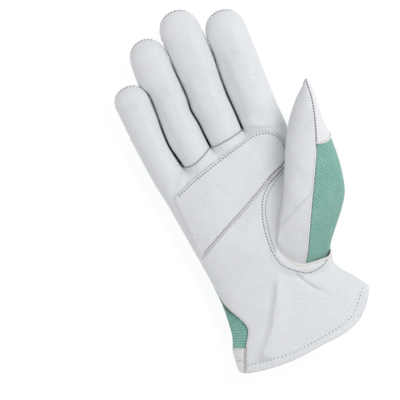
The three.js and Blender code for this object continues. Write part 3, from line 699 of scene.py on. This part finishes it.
def grid_into(bm, panel):
    """A grid laid onto a panel's points. Its cloth map holds real millimetres along the sheet."""
    rows, columns = panel.points.shape[0] - 1, panel.points.shape[1] - 1
    made = bmesh.ops.create_grid(bm, x_segments=columns, y_segments=rows, size=0.5)
    places = to_part(panel.points)
    middle = panel.from_left[:, panel.from_left.shape[1] // 2][:, None]
    across, upward = panel.cloth or (panel.from_left - middle, panel.from_low)
    uv_layer = bm.loops.layers.uv.get("cloth") or bm.loops.layers.uv.new("cloth")
    cell = {}
    for vert in made["verts"]:
        i = int(round((vert.co.x + 0.5) * columns))
        j = int(round((vert.co.y + 0.5) * rows))
        cell[vert] = (i, j)
    faces = {face for vert in made["verts"] for face in vert.link_faces}
    for face in faces:
        face.smooth = True
        for loop in face.loops:
            i, j = cell[loop.vert]
            loop[uv_layer].uv = (across[j, i], upward[j, i])
    for vert, (i, j) in cell.items():
        vert.co = places[j, i]
    if panel.flip:
        bmesh.ops.reverse_faces(bm, faces=list(faces))
    return made["verts"]


def new_object(name, bm, material, nodes=(), thickness=0.0):
    """One piece from a finished mesh. A thickness gives a sheet its wall, inwards."""
    mesh = bpy.data.meshes.new(name)
    bm.to_mesh(mesh)
    bm.free()
    mesh.materials.append(material)
    piece = bpy.data.objects.new(name, mesh)
    bpy.context.scene.collection.objects.link(piece)
    if thickness:
        shell = piece.modifiers.new("thickness", "SOLIDIFY")
        shell.thickness = thickness * MM
        shell.offset = -1
    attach(piece, "root")
    if nodes:
        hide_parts(*nodes)
    return piece


def sheet_piece(node, panels, material, thickness):
    """One thin sheet in the place of a node of the part, from panels that share their edges."""
    bm = bmesh.new()
    for panel in panels:
        grid_into(bm, panel)
    bmesh.ops.remove_doubles(bm, verts=bm.verts, dist=TOUCHING)
    return new_object(f"{node}_skin", bm, material, [node], thickness)


def grid_axes(columns, rows):
    """Places across and up a rectangle, each from 0 to 1."""
    return np.meshgrid(np.linspace(0, 1, columns + 1), np.linspace(0, 1, rows + 1))


def body_panel(side, low=0.0, high=1.0, rows=BODY_ROWS):
    """The palm side or back of the hand's body, from the cuff (0) to the finger bases (1)."""
    across, upward = np.meshgrid(np.linspace(0, 4, 4 * ACROSS + 1), np.linspace(low, high, rows + 1))
    return Panel(body_skin(side, across, upward), flip=side < 0)


def finger_panel(k, side, to_tip=True, start=0.0, end=1.0):
    """The front or back of one finger as one panel, from its base or a cap seam to the tip."""
    steps = finger_rows()
    steps = steps[(steps >= start) & (steps <= end)]
    if start > 0:
        steps = np.concatenate([[start], steps[steps > start + NO_CLOSER]])
    if end < 1:
        steps = np.concatenate([steps[steps < end - NO_CLOSER], [end]])
    turn = np.linspace(-1, 1, ACROSS + 1)
    points = finger_skin(k, side, *np.meshgrid(turn, steps))
    if to_tip:
        u, lift = np.meshgrid(turn, np.linspace(0, 1, TIP_ROWS + 1)[1:])
        points = np.concatenate([points, tip_skin(k, side, u, lift)])
    return Panel(points, flip=side < 0)


def thumb_panel(first, last, low, high, columns, rows):
    """Part of the thumb, between two quarters round it and two steps along it."""
    u, v = np.meshgrid(np.linspace(first, last, columns + 1), np.linspace(low, high, rows + 1))
    return Panel(thumb_skin(u, v), flip=True)


def cap_step(k, y):
    """The step of a finger at a given y above its cap seam's level."""
    level = float(base_y(k + 0.5))
    return (y - level) / (FINGERS[k]["rows"][-1][0] - level)


# Materials

class Finish:
    """One material in the making, with short ways to lay noise, sums, colours and bump."""

    def __init__(self, name):
        self.material = bpy.data.materials.new(name)
        self.material.use_nodes = True
        self.nodes = self.material.node_tree.nodes
        self.links = self.material.node_tree.links
        self.shader = self.nodes["Principled BSDF"]

    def put(self, value, socket):
        """A number or colour is set, and another node's output is linked."""
        if isinstance(value, (int, float, tuple)):
            socket.default_value = value
        else:
            self.links.new(value, socket)

    def shade(self, name, value):
        self.put(value, self.shader.inputs[name])

    def cloth(self, turn=0.0):
        """Millimetres along the sheet, turned by some degrees."""
        uv = self.nodes.new("ShaderNodeUVMap")
        uv.uv_map = "cloth"
        if not turn:
            return uv.outputs["UV"]
        mapping = self.nodes.new("ShaderNodeMapping")
        mapping.inputs["Rotation"].default_value = (0, 0, math.radians(turn))
        self.links.new(uv.outputs["UV"], mapping.inputs["Vector"])
        return mapping.outputs["Vector"]

    def noise(self, place, size, detail=3.0, rough=0.55):
        node = self.nodes.new("ShaderNodeTexNoise")
        node.inputs["Scale"].default_value = 1.0 / size
        node.inputs["Detail"].default_value = detail
        node.inputs["Roughness"].default_value = rough
        self.links.new(place, node.inputs["Vector"])
        return node.outputs["Fac"]

    def cells(self, place, size, feature="F1"):
        node = self.nodes.new("ShaderNodeTexVoronoi")
        node.feature = feature
        node.inputs["Scale"].default_value = 1 / size
        self.links.new(place, node.inputs["Vector"])
        return node.outputs["Distance"]

    def swirl(self, place, size, reach):
        """Places pushed about by a soft noise."""
        node = self.nodes.new("ShaderNodeTexNoise")
        node.inputs["Scale"].default_value = 1 / size
        self.links.new(place, node.inputs["Vector"])
        bent = self.nodes.new("ShaderNodeVectorMath")
        bent.operation = "MULTIPLY_ADD"
        for value, socket in zip((node.outputs["Color"], (reach, reach, reach), place), bent.inputs):
            self.put(value, socket)
        return bent.outputs[0]

    def calc(self, kind, *values):
        node = self.nodes.new("ShaderNodeMath")
        node.operation = kind
        for value, socket in zip(values, node.inputs):
            self.put(value, socket)
        return node.outputs[0]

    def colour_by(self, value, stops):
        """The colour goes through stops of (value, colour)."""
        node = self.nodes.new("ShaderNodeValToRGB")
        while len(node.color_ramp.elements) < len(stops):
            node.color_ramp.elements.new(0.5)
        for element, (place, colour) in zip(node.color_ramp.elements, stops):
            element.position = place
            element.color = (*colour, 1)
        self.links.new(value, node.inputs["Fac"])
        self.shade("Base Color", node.outputs["Color"])

    def emboss(self, layers):
        """Bump from layers of (height, depth in mm), coarse first."""
        normal = None
        for height, depth in layers:
            node = self.nodes.new("ShaderNodeBump")
            node.inputs["Strength"].default_value = 1.0
            node.inputs["Distance"].default_value = depth * MM
            self.links.new(height, node.inputs["Height"])
            if normal is not None:
                self.links.new(normal, node.inputs["Normal"])
            normal = node.outputs["Normal"]
        self.shade("Normal", normal)


def leather_material(name, light, dark, crease=0.35, grain=0.1):
    """Smooth goat leather: soft cloudy tone, fine wrinkles in patches and a pebbled grain."""
    finish = Finish(name)
    place = finish.cloth()
    cloud = finish.noise(place, 26)
    grit = finish.noise(place, 1.1, 3, 0.7)
    tone = finish.calc("MULTIPLY_ADD", grit, 0.55, finish.calc("MULTIPLY", cloud, 0.6))
    finish.colour_by(tone, [(0.32, dark), (0.78, light)])
    pores = finish.cells(place, 0.8)
    cracks = finish.cells(finish.swirl(place, 5.0, 3.0), 4.5, "DISTANCE_TO_EDGE")
    thin = finish.calc("MINIMUM", finish.calc("MULTIPLY", cracks, 9.0), 1.0)
    patches = finish.calc("GREATER_THAN", finish.noise(place, 30, 1), 0.52)
    wrinkled = finish.calc("MULTIPLY", finish.calc("SUBTRACT", thin, 1.0), patches)
    wrinkle = finish.noise(place, 7.5, 4, 0.6)
    soft = finish.noise(place, 22, 2, 0.5)
    folds = [(soft, crease * 2.4), (wrinkle, crease * 0.95), (wrinkled, 0.13)]
    finish.emboss(folds + [(grit, grain * 1.3), (pores, -grain)])
    finish.shade("Roughness", finish.calc("MULTIPLY_ADD", cloud, 0.16, 0.46))
    finish.shade("Specular IOR Level", 0.28)
    finish.shade("Sheen Weight", 0.06)
    return finish.material


def knit_material(name, turn=0.0, pitch=2.0):
    """Ribbed cotton knit: ribs across the hand, fine stitches within them."""
    finish = Finish(name)
    place = finish.cloth(turn)
    wander = finish.noise(place, 9, 2)
    split = finish.nodes.new("ShaderNodeSeparateXYZ")
    finish.put(place, split.inputs[0])
    rib_place = finish.calc("MULTIPLY_ADD", wander, 1.6, split.outputs["Y"])
    rib = finish.calc("SINE", finish.calc("MULTIPLY", rib_place, math.pi / pitch))
    rib = finish.calc("MULTIPLY_ADD", finish.calc("ABSOLUTE", rib), 1.35, -0.86)
    loop_place = finish.calc("MULTIPLY_ADD", wander, 1.2, split.outputs["X"])
    loop = finish.calc("SINE", finish.calc("MULTIPLY", loop_place, 2 * math.pi / 1.45))
    fuzz = finish.noise(place, 1.3)
    broad = finish.noise(place, 14)
    height = finish.calc("MULTIPLY_ADD", loop, 0.36, rib)
    height = finish.calc("MULTIPLY_ADD", fuzz, 2.8, height)
    tone = finish.calc("MULTIPLY_ADD", height, 0.27, -0.1)
    tone = finish.calc("MULTIPLY_ADD", broad, 0.4, tone)
    colours = [(0.1, (0.112, 0.290, 0.245)), (0.5, (0.222, 0.450, 0.388)), (0.9, (0.365, 0.605, 0.530))]
    finish.colour_by(tone, colours)
    finish.emboss([(broad, 0.5), (height, 0.2)])
    finish.shade("Roughness", 0.9)
    finish.shade("Specular IOR Level", 0.15)
    finish.shade("Sheen Weight", 0.25)
    finish.shade("Sheen Roughness", 0.5)
    return finish.material


def plain_material(name, colour, rough, speck=0.1, size=0.4):
    """Thread, raw edges, and near-black painted shade for stitch holes and seam slots: one colour with fine
    specks.
    """
    finish = Finish(name)
    place = finish.nodes.new("ShaderNodeTexCoord").outputs["Object"]
    specks = finish.noise(place, size * MM, 2)
    low = tuple(c * (1 - speck) for c in colour)
    high = tuple(min(1, c * (1 + speck)) for c in colour)
    finish.colour_by(specks, [(0.35, low), (0.65, high)])
    finish.emboss([(specks, 0.05)])
    finish.shade("Roughness", rough)
    return finish.material


PALM_LEATHER = leather_material("palm leather", (0.73, 0.745, 0.765), (0.66, 0.675, 0.70))
WHITE_LEATHER = leather_material("white leather", (0.75, 0.76, 0.775), (0.70, 0.71, 0.73), 0.3)
GREEN_KNIT = knit_material("green knit")
THUMB_KNIT = knit_material("thumb knit", -48, 2.3)
THREAD = plain_material("thread", (0.58, 0.59, 0.61), 0.7, 0.15, 0.3)
# Near-black painted shade: the shade inside stitch holes, seam grooves and the gaps between the fingers
HOLE_AND_SEAM_SHADE = plain_material("painted hole and seam shade", (0.10, 0.10, 0.11), 0.95, 0.2)
RAW_EDGE = plain_material("raw leather edge", (0.69, 0.675, 0.645), 0.85, 0.1, 0.6)
WHITE_EDGE = plain_material("white leather edge", (0.88, 0.88, 0.875), 0.8, 0.05, 0.6)
# The palm patch's cut edge in grey, and painted shadow along its raised top and right edges
GREY_EDGE_AND_SHADOW = plain_material("grey cut edge and painted shadow", (0.56, 0.56, 0.56), 0.85, 0.12, 0.6)


# Palm leather with the index and little finger fronts

palm = body_panel(1)
places = np.linspace(0, 4, palm.points.shape[1])
over_fingers = ease((places - 0.97) / 0.05) * ease((3.03 - places) / 0.05)
palm.turn_in(left=0.9, right=0.7, top=0.95 * over_fingers[None, :])
palm.measure()
# The hem is folded under, so the cuff edge is thicker and its stitch line pulls in
hem = bump(line_distance(palm.points, HEM_STITCH) / 1.1) * ease(palm.points[..., 2] / 8)
to_outer_row = line_distance(palm.points, THUMB_STITCH_OUTER)
to_inner_row = line_distance(palm.points, THUMB_STITCH_INNER)
thumb_rows = bump(np.minimum(to_outer_row, to_inner_row) / 0.75)
palm.raise_by(0.25 * ease(1 - palm.from_low / 8) - 0.35 * hem - 0.4 * thumb_rows)
palm.measure()

fronts = []
for k in range(4):
    front = finger_panel(k, 1)
    front.turn_in(left=0.95, right=0.95, low=0.95 if k in (RING, MIDDLE) else 0.0, top=0.95)
    front.measure()
    fronts.append(front)

# Opening for the thumb, seen along the thumb's way in
SIDE_WAY = np.cross(THUMB_ALONG, [0, 1, 0])
SIDE_WAY /= np.linalg.norm(SIDE_WAY)
UP_WAY = np.cross(SIDE_WAY, THUMB_ALONG)
hole_turns = np.linspace(0, 4, OPENING_POINTS + 1)[:-1]
hole_ring = thumb_skin(hole_turns, np.zeros(OPENING_POINTS))
HOLE_MIDDLE = hole_ring.mean(0)


def in_hole_view(points):
    """Angle round the opening's middle, and distance from it."""
    off = points - HOLE_MIDDLE
    side, up = off @ SIDE_WAY, off @ UP_WAY
    return np.arctan2(up, side), np.hypot(side, up)


ring_angle, ring_reach = in_hole_view(hole_ring)
ring_order = np.argsort(ring_angle)
RING_ANGLE = ring_angle[ring_order]
RING_REACH = ring_reach[ring_order]


def hole_distance(points):
    """Millimetres outside the thumb opening, negative inside it."""
    angle, reach = in_hole_view(points)
    return reach - np.interp(angle, RING_ANGLE, RING_REACH, period=2 * np.pi)


# The opening's edge lies a little proud, with a stitched-down line outside it
near_front = ease((palm.points[..., 2] - 6) / 8)
palm.raise_by(near_front * LAP_RISE * ease((7 - hole_distance(palm.points)) / 6))
palm.measure()


def cut_opening(bm, distance):
    """Cuts the sheet along distance 0 and drops what lies inside, keeping the true places in a layer."""
    place = bm.verts.layers.float_vector.new("place")
    for vert, gap in zip(bm.verts, distance):
        vert[place] = vert.co
        vert.co.z = gap
    everything = list(bm.verts) + list(bm.edges) + list(bm.faces)
    bmesh.ops.bisect_plane(
        bm, geom=everything, dist=1e-7, plane_co=(0, 0, 0), plane_no=(0, 0, 1), clear_inner=True,
    )
    for vert in bm.verts:
        vert.co = vert[place]


def opening_gap(spots):
    """Millimetres from the cut edge of the palm leather: negative where the leather is cut away."""
    x, y, z = spots.T
    gap = hole_distance(spots) - 0.2 + (LAP + 0.2) * ease((z - 14) / 6)
    low_spots = (z < 16) & (x > 30)
    seam = np.full(len(spots), 99.0)
    offsets = spots[low_spots][:, None] - palm.line("right", 0.0)[0][None]
    seam[low_spots] = np.min(np.linalg.norm(offsets, axis=2), axis=1)
    gap = gap - LAP_DRAWN_IN * ease((x - 35) / 9) * (y < -38) * ease((z - 10) / 6)
    gap = np.maximum(gap, SEAM_STRIP - seam)
    return np.where((z > 3) & (y < 30) & (x > 0), gap, 30.0)


def make_palm():
    """The palm leather. Returns the edge that laps over the thumb: points and outward directions."""
    bm = bmesh.new()
    for panel in (palm, fronts[LITTLE], fronts[INDEX]):
        grid_into(bm, panel)
    bmesh.ops.remove_doubles(bm, verts=bm.verts, dist=TOUCHING)
    bm.verts.ensure_lookup_table()
    spots = np.array([vert.co[:] for vert in bm.verts]) / MM + ORIGIN
    cut_opening(bm, opening_gap(spots) * MM)
    bm.normal_update()
    rim = [vert for vert in bm.verts if vert.is_boundary]
    spots = np.array([vert.co[:] for vert in rim]) / MM + ORIGIN
    facing = np.array([vert.normal[:] for vert in rim])
    here = (np.abs(hole_distance(spots)) < 3) & (spots[:, 1] < 30) & (spots[:, 2] > 15)
    order = np.argsort(in_hole_view(spots[here])[0])
    new_object("palm_leather_skin", bm, PALM_LEATHER, ["palm_leather"], LEATHER)
    return spots[here][order], facing[here][order]


lap_line = make_palm()
sheet_piece("ring_front", [fronts[RING]], PALM_LEATHER, LEATHER)
sheet_piece("middle_front", [fronts[MIDDLE]], PALM_LEATHER, LEATHER)


# Knit back, fingertip caps and side strips

back = body_panel(-1, low=CUFF_BAND * 0.9, rows=int(BODY_ROWS * 0.88))
back.turn_in(left=0.8, right=0.8)
back.measure()
back_parts = [back]
caps = []
for k, finger in enumerate(FINGERS):
    seam = cap_step(k, finger["cap"])
    part = finger_panel(k, -1, to_tip=False, end=seam + 0.04)
    part.turn_in(left=0.8, right=0.8)
    part.raise_by(-0.8 * ease(1 - part.from_top / 4.0))
    part.measure()
    back_parts.append(part)
    cap = finger_panel(k, -1, start=seam)
    cap.turn_in(left=0.9, right=0.9, top=0.9)
    cap.raise_by(0.35 * bump(cap.from_low / 3.0))
    cap.measure()
    caps.append(cap)
    sheet_piece("cap_" + finger["name"], [cap], WHITE_LEATHER, LEATHER)
sheet_piece("back_knit", back_parts, GREEN_KNIT, KNIT)

strips = []
for k, name in enumerate(("little_ring", "ring_middle", "middle_index")):
    steps = finger_rows()
    steps = steps[steps < STRIP_ENDS]
    down = np.linspace(0, 1, STRIP_COLUMNS + 1)
    first = strip_skin(k, 1, *np.meshgrid(down, steps[::-1]))
    second = strip_skin(k + 1, -1, *np.meshgrid(down, steps[1:]))
    strip = Panel(np.concatenate([first, second]), flip=True)
    to_crotch = np.abs(np.linspace(-1, 1, strip.points.shape[0]))[:, None]
    within = ease((to_crotch - 0.02) / 0.12) * ease((0.94 - to_crotch) / 0.25)
    strip.raise_by(STRIP_SWELL * bump((down - 0.42) / 0.24)[None, :] * within)
    strip.measure()
    strip.turn_in(left=0.5, right=0.5, reach=0.8)
    strip.measure()
    strips.append(strip)
    sheet_piece(f"fourchette_{name}", [strip], WHITE_LEATHER, THIN_LEATHER)


# Thumb: leather palm side, knit back and leather tip

thumb_front = thumb_panel(0, 2, -0.9, 8, 72, 170)
thumb_front.raise_by(thumb_fold(thumb_front.points) * ease((thumb_front.normals[..., 2] - 0.1) / 0.5))
thumb_front.turn_in(left=0.5, right=0.8, reach=0.8)
thumb_front.measure()
sheet_piece("thumb_front", [thumb_front], PALM_LEATHER, LEATHER)

thumb_back = thumb_panel(2, 4, -0.9, THUMB_CAP_STEP + 0.15, 48, 84)
# The root of the knit is drawn in to the leather strip beside the side seam
root = thumb_back.points[0]
strip_line = palm.line("right", 1.6)[0]
nearest = strip_line[np.argmin(np.linalg.norm(root[:, None] - strip_line[None], axis=2), axis=1)]
quarter = np.linspace(2, 4, len(root))
drawn_in = (nearest - root) * (ease((quarter - 2.2) / 0.4) * ease((3.35 - quarter) / 0.3))[:, None]
from_root = np.linspace(0, THUMB_CAP_STEP + 1.05, 85)
thumb_back.points = thumb_back.points + drawn_in[None] * ease(1 - from_root / 1.1)[:, None, None]
# and it stands out a little where the palm leather laps up beside it
out = ease((quarter - 2.95) / 0.3) * ease((3.9 - quarter) / 0.35)
stand_out = ease(1 - from_root / 3.1)[:, None] * out[None]
thumb_back.points = thumb_back.points + stand_out[..., None] * np.array([2.0, -1.1, 0.0])
thumb_back.measure()
THUMB_WAY = np.array([38.0, 90.0, 17.0]) / np.linalg.norm([38.0, 90.0, 17.0])
thumb_back.cloth = (thumb_back.from_right, thumb_back.points @ THUMB_WAY)
thumb_back.turn_in(left=0.7, right=0.7, reach=0.9)
thumb_back.raise_by(-0.8 * ease(1 - thumb_back.from_top / 3.0))
thumb_back.measure()
sheet_piece("thumb_back", [thumb_back], THUMB_KNIT, KNIT)

thumb_cap = thumb_panel(2, 4, THUMB_CAP_STEP, 8, 44, 48)
thumb_cap.turn_in(left=0.6, right=0.6, reach=0.9)
thumb_cap.raise_by(0.35 * bump(thumb_cap.from_low / 3.0))
thumb_cap.measure()
sheet_piece("thumb_cap", [thumb_cap], WHITE_LEATHER, LEATHER)


# Cuff band on the back, and the two patches

band = body_panel(-1, high=CUFF_BAND, rows=26)
band.raise_by(0.3 - 0.4 * bump((band.from_low - BAND_STITCH) / 1.2))
band.turn_in(left=0.8, right=0.8, top=0.2)
band.measure()
sheet_piece("cuff_band", [band], WHITE_LEATHER, LEATHER)


def find_on(panel, x, y):
    """Places and outward directions of a panel under drawing places x, y."""
    if panel.tree is None:
        bm = bmesh.new()
        grid_into(bm, panel)
        panel.tree = BVHTree.FromBMesh(bm)
        bm.free()
    way = 1 if panel.flip else -1
    spots, facing = [], []
    for px, py in zip(np.ravel(x), np.ravel(y)):
        start = Vector(to_part([px, py, ABOVE_GLOVE if way < 0 else BELOW_GLOVE]))
        hit, normal, _, _ = panel.tree.ray_cast(start, Vector((0, 0, way)))
        if hit is None:
            hit, normal, _, _ = panel.tree.find_nearest(Vector(to_part([px, py, HALF_HEIGHT])))
        spots.append(np.array(hit) / MM + ORIGIN)
        facing.append(np.array(normal if normal.z * way < 0 else -normal))
    shape = np.shape(x) + (3,)
    return np.array(spots).reshape(shape), np.array(facing).reshape(shape)


u, v = grid_axes(72, 40)
x = mix(curve(PALM_PATCH, 1, u), curve(PALM_PATCH, 3, u), v) + PALM_PATCH_BOW * 4 * v * (1 - v) * u**8
y = mix(curve(PALM_PATCH, 2, u), curve(PALM_PATCH, 4, u), v)
palm_patch = Panel(find_on(palm, x, y)[0])
palm_patch.raise_by(PATCH_RISE)
palm_patch.turn_in(left=0.5, right=0.3, low=0.3, top=0.3, reach=0.7)
inside = np.minimum(np.minimum(palm_patch.from_low, palm_patch.from_top), palm_patch.from_right)
palm_patch.raise_by(-0.35 * bump((inside - 1.8) / 0.7))
palm_patch.measure()
sheet_piece("palm_patch", [palm_patch], PALM_LEATHER, THIN_LEATHER)

u, v = grid_axes(64, 44)
p, q = 2 * u - 1, 2 * v - 1
x = BACK_PATCH["x"] + BACK_PATCH["half_wide"] * p * np.sqrt(1 - BACK_PATCH["corner_x"] * q**4)
y = BACK_PATCH["y"] + BACK_PATCH["half_tall"] * q * np.sqrt(1 - BACK_PATCH["corner_y"] * p**4)
back_patch = Panel(find_on(back, x, y)[0] - [0, 0, REST], flip=True)
sheet_piece("back_patch", [back_patch], WHITE_LEATHER, LABEL_LEATHER)


# Stitches

def pick_along(values, length, at):
    """Values of a line's points at given distances along it."""
    return np.stack([np.interp(at, length, values[:, n]) for n in range(3)], -1)


def unit(ways):
    return ways / np.maximum(np.linalg.norm(ways, axis=1, keepdims=True), 1e-9)


def upright(facing, along):
    """Outward directions made square to the line that they stand on."""
    return unit(facing - along * np.sum(facing * along, 1, keepdims=True))


def even_line(points, normals, pitch, shift):
    """Places at an even pitch along a line: points, directions along it, outward directions."""
    length = lengths_along(points)
    at = np.arange(shift + pitch / 2, length[-1], pitch)
    along = unit(pick_along(points, length, at + 0.2) - pick_along(points, length, at - 0.2))
    return pick_along(points, length, at), along, upright(pick_along(normals, length, at), along)


def bead_matrix(place, along, facing, size):
    """Lays a unit ball along a stitch line, as a flat bead."""
    across = np.cross(facing, along)
    turn = Matrix((along * size[0], across * size[1], facing * size[2])).transposed().to_4x4()
    turn = Matrix.Scale(MM, 4) @ turn
    turn.translation = Vector(to_part(place))
    return turn


def add_beads(bm, points, normals, pitch, shift, size):
    """A row of flat beads along a line."""
    for place, along, facing in zip(*even_line(points, normals, pitch, shift)):
        matrix = bead_matrix(place + facing * BEAD_LIFT, along, facing, size)
        bmesh.ops.create_uvsphere(bm, u_segments=6, v_segments=4, radius=1, matrix=matrix)


thread_bm = bmesh.new()
shade_bm = bmesh.new()


def stitch_row(points, normals, pitch=STITCH_PITCH, hole_scale=1.0, thread=True, hole=HOLE_SIZE):
    """Short threads with a needle hole between each two, or the holes alone. Each hole is a dark bead of
    painted shade.
    """
    if thread:
        add_beads(thread_bm, points, normals, pitch, 0.0, THREAD_SIZE)
    add_beads(shade_bm, points, normals, pitch, pitch / 2, tuple(s * hole_scale for s in hole))


def drawn_line(panel, table):
    """A smooth line through x, y pairs, laid on a panel."""
    return find_on(panel, *smooth_line(table))


def edge_tube(bm, points, normals, wide, tall, lift=0.0):
    """A thin raw edge, or a dark line of painted shade, along a line: a grid rolled into a flat tube with
    rounded ends.
    """
    points = points + normals * lift
    length = lengths_along(points)
    at = np.linspace(0, length[-1], max(4, int(length[-1] / 1.4)) + 1)
    place = pick_along(points, length, at)
    along = unit(np.gradient(place, axis=0))
    facing = upright(pick_along(normals, length, at), along)
    across = np.cross(along, facing)
    turn = np.linspace(0, 2 * np.pi, 9)[None, :, None]
    thin = np.sin(np.pi * np.clip(np.linspace(0, 1, len(at)) * len(at) / 4, 0, 0.5))
    thin = np.minimum(thin, thin[::-1])[:, None, None]
    ring = np.cos(turn) * across[:, None] * wide + np.sin(turn) * facing[:, None] * tall
    verts = grid_into(bm, Panel(place[:, None] + ring * np.maximum(thin, 0.02)))
    bmesh.ops.remove_doubles(bm, verts=verts, dist=TOUCHING)


# Thin dark lines of painted shade along the stitch rows round the thumb's opening
for table, wide, size in ((THUMB_STITCH_OUTER, 0.06, 1.15), (THUMB_STITCH_INNER, 0.05, 1.0)):
    row = drawn_line(palm, table)
    edge_tube(shade_bm, *row, wide, 0.12)
    stitch_row(*row, hole_scale=size)
stitch_row(*drawn_line(palm, HEM_STITCH), pitch=HEM_PITCH, hole_scale=0.92, thread=False)
# A dark line of painted shade along the seam on the little finger side
side_row = palm.line("left", 0.9, 0.01, 0.12)
edge_tube(shade_bm, *side_row, 0.06, 0.12)
stitch_row(*side_row, hole_scale=0.95)
stitch_row(*band.line("low", BAND_STITCH, 0.01, 0.99), pitch=HEM_PITCH, hole_scale=0.95, thread=False)
stitch_row(*drawn_line(palm_patch, PATCH_STITCH_TOP), pitch=2.3, hole_scale=1.2)
stitch_row(*drawn_line(palm_patch, PATCH_STITCH_LOW), hole_scale=1.1)
stitch_row(*drawn_line(palm_patch, PATCH_STITCH_LONG), thread=False, hole=LONG_HOLE)
for edge in ("low", "top", "left", "right"):
    stitch_row(*back_patch.line(edge, 2.2, 0.04, 0.96))
for cap, front in zip(caps, fronts):
    stitch_row(*cap.line("low", 1.5, 0.03, 0.97))
    stitch_row(*front.line("top", 3.6, 0.0, 0.8, 0.05), pitch=2.4, hole_scale=1.3, thread=False)
stitch_row(*thumb_cap.line("low", 1.5, 0.03, 0.97), hole_scale=0.3)
stitch_row(*thumb_cap.line("right", 0.4, 0.0, 0.93, 0.25), hole_scale=1.2)
# A dark line of painted shade along the seam of the knit thumb
seam_row = thumb_back.line("right", 1.0, 0.12, 0.98, 0.1)
edge_tube(shade_bm, *seam_row, 0.24, 0.16)
stitch_row(*seam_row, pitch=1.7, hole_scale=1.15)
# Painted shade: thin dark lines stand for the shade in the seams at the finger bases, and wide dark tubes
# on the strips paint the gaps between the fingers black
for k in (RING, MIDDLE):
    edge_tube(shade_bm, *fronts[k].line("low", 0.12, 0.03, 0.97, 0.1), 0.11, 0.12)
for strip in strips:
    edge_tube(shade_bm, *strip.line("left", 0.5, 0.12, 0.88), 0.3, 0.2)
    edge_tube(shade_bm, *strip.line("left", 1.0, 0.24, 0.76), 0.75, 0.25)
    edge_tube(shade_bm, *strip.line("left", 2.1, 0.42, 0.58), 0.8, 0.3)
bmesh.ops.recalc_face_normals(shade_bm, faces=shade_bm.faces)
for bm in (thread_bm, shade_bm):
    for face in bm.faces:
        face.smooth = True
new_object("stitch_threads", thread_bm, THREAD)
new_object("painted_hole_and_seam_shade", shade_bm, HOLE_AND_SEAM_SHADE)


# Raw edges, and thin grey lines of painted shadow along the palm patch

raw_bm, white_bm, grey_and_shadow_bm = bmesh.new(), bmesh.new(), bmesh.new()
edge_tube(white_bm, *palm.line("right", 0.15), 0.4, 0.4)
edge_tube(raw_bm, *palm.line("left", 0.15), 0.32, 0.4)
edge_tube(raw_bm, *band.line("top", 0.1), 0.45, 0.6)
for cap in caps:
    edge_tube(raw_bm, *cap.line("low", 0.1, 0.06, 0.94), 0.45, 0.6)
edge_tube(raw_bm, *thumb_cap.line("low", 0.1), 0.55, 0.6)
edge_tube(white_bm, *thumb_front.line("left", 0.1, 0.1, 0.57), 0.42, 0.4, 0.4)
edge_tube(raw_bm, *lap_line, 1.05, 0.5, -0.15)
edge_tube(grey_and_shadow_bm, *palm_patch.line("low", 0.6, 0.02, 0.98), 0.75, 0.3, 0.05)
# Painted shadow: thin grey lines along the top and right edges of the raised palm patch stand for the shade
# under its edge
edge_tube(grey_and_shadow_bm, *palm_patch.line("top", 0.1, 0.02, 1.0), 0.26, 0.35)
edge_tube(grey_and_shadow_bm, *palm_patch.line("right", 0.1, 0.02, 0.98), 0.22, 0.3)
for edge in ("low", "top", "left", "right"):
    edge_tube(raw_bm, *back_patch.line(edge, 0.1), 0.45, 0.5, -0.7)
for name, bm, material in (
    ("raw_edges", raw_bm, RAW_EDGE),
    ("white_edges", white_bm, WHITE_EDGE),
    ("grey_edges_and_shadow_lines", grey_and_shadow_bm, GREY_EDGE_AND_SHADOW),
):
    bmesh.ops.recalc_face_normals(bm, faces=bm.faces)
    new_object(name, bm, material)


# Floor, light and camera

def link_new(name, data):
    thing = bpy.data.objects.new(name, data)
    bpy.context.scene.collection.objects.link(thing)
    return thing


def make_floor():
    bm = bmesh.new()
    bmesh.ops.create_grid(bm, x_segments=1, y_segments=1, size=3.0)
    mesh = bpy.data.meshes.new("floor")
    bm.to_mesh(mesh)
    bm.free()
    finish = Finish("floor")
    finish.shade("Base Color", (0.2, 0.2, 0.2, 1))
    finish.shade("Roughness", 0.9)
    finish.shade("Emission Color", (1, 1, 1, 1))
    finish.shade("Emission Strength", 0.84)
    mesh.materials.append(finish.material)
    link_new("floor", mesh)


def add_light(name, place, size, power):
    """A square softbox that faces the glove."""
    lamp = bpy.data.lights.new(name, "AREA")
    lamp.shape = "SQUARE"
    lamp.size = size
    lamp.energy = power
    light = link_new(name, lamp)
    light.location = place
    light.rotation_euler = (-Vector(place)).to_track_quat("-Z", "Y").to_euler()


make_floor()
world = bpy.data.worlds.new("studio")
world.use_nodes = True
world.node_tree.nodes["Background"].inputs["Color"].default_value = (1, 1, 1, 1)
world.node_tree.nodes["Background"].inputs["Strength"].default_value = 0.4
bpy.context.scene.world = world
bpy.context.scene.view_settings.view_transform = "Standard"
add_light("key softbox", (0.85, 0.25, 0.97), 0.9, 11.7)
add_light("fill softbox", (-0.9, -0.1, 0.9), 1.1, 5.4)

camera_data = bpy.data.cameras.new("camera")
camera_data.sensor_width = SENSOR
camera_data.lens = SENSOR * FAR / PICTURE_WIDTH
camera_data.clip_end = 20
camera = link_new("camera", camera_data)
middle = to_part(PICTURE_MIDDLE)
camera.location = (middle[0], middle[1], middle[2] + FAR)
camera.rotation_euler = (0, 0, math.radians(PICTURE_TURN))
bpy.context.scene.camera = camera
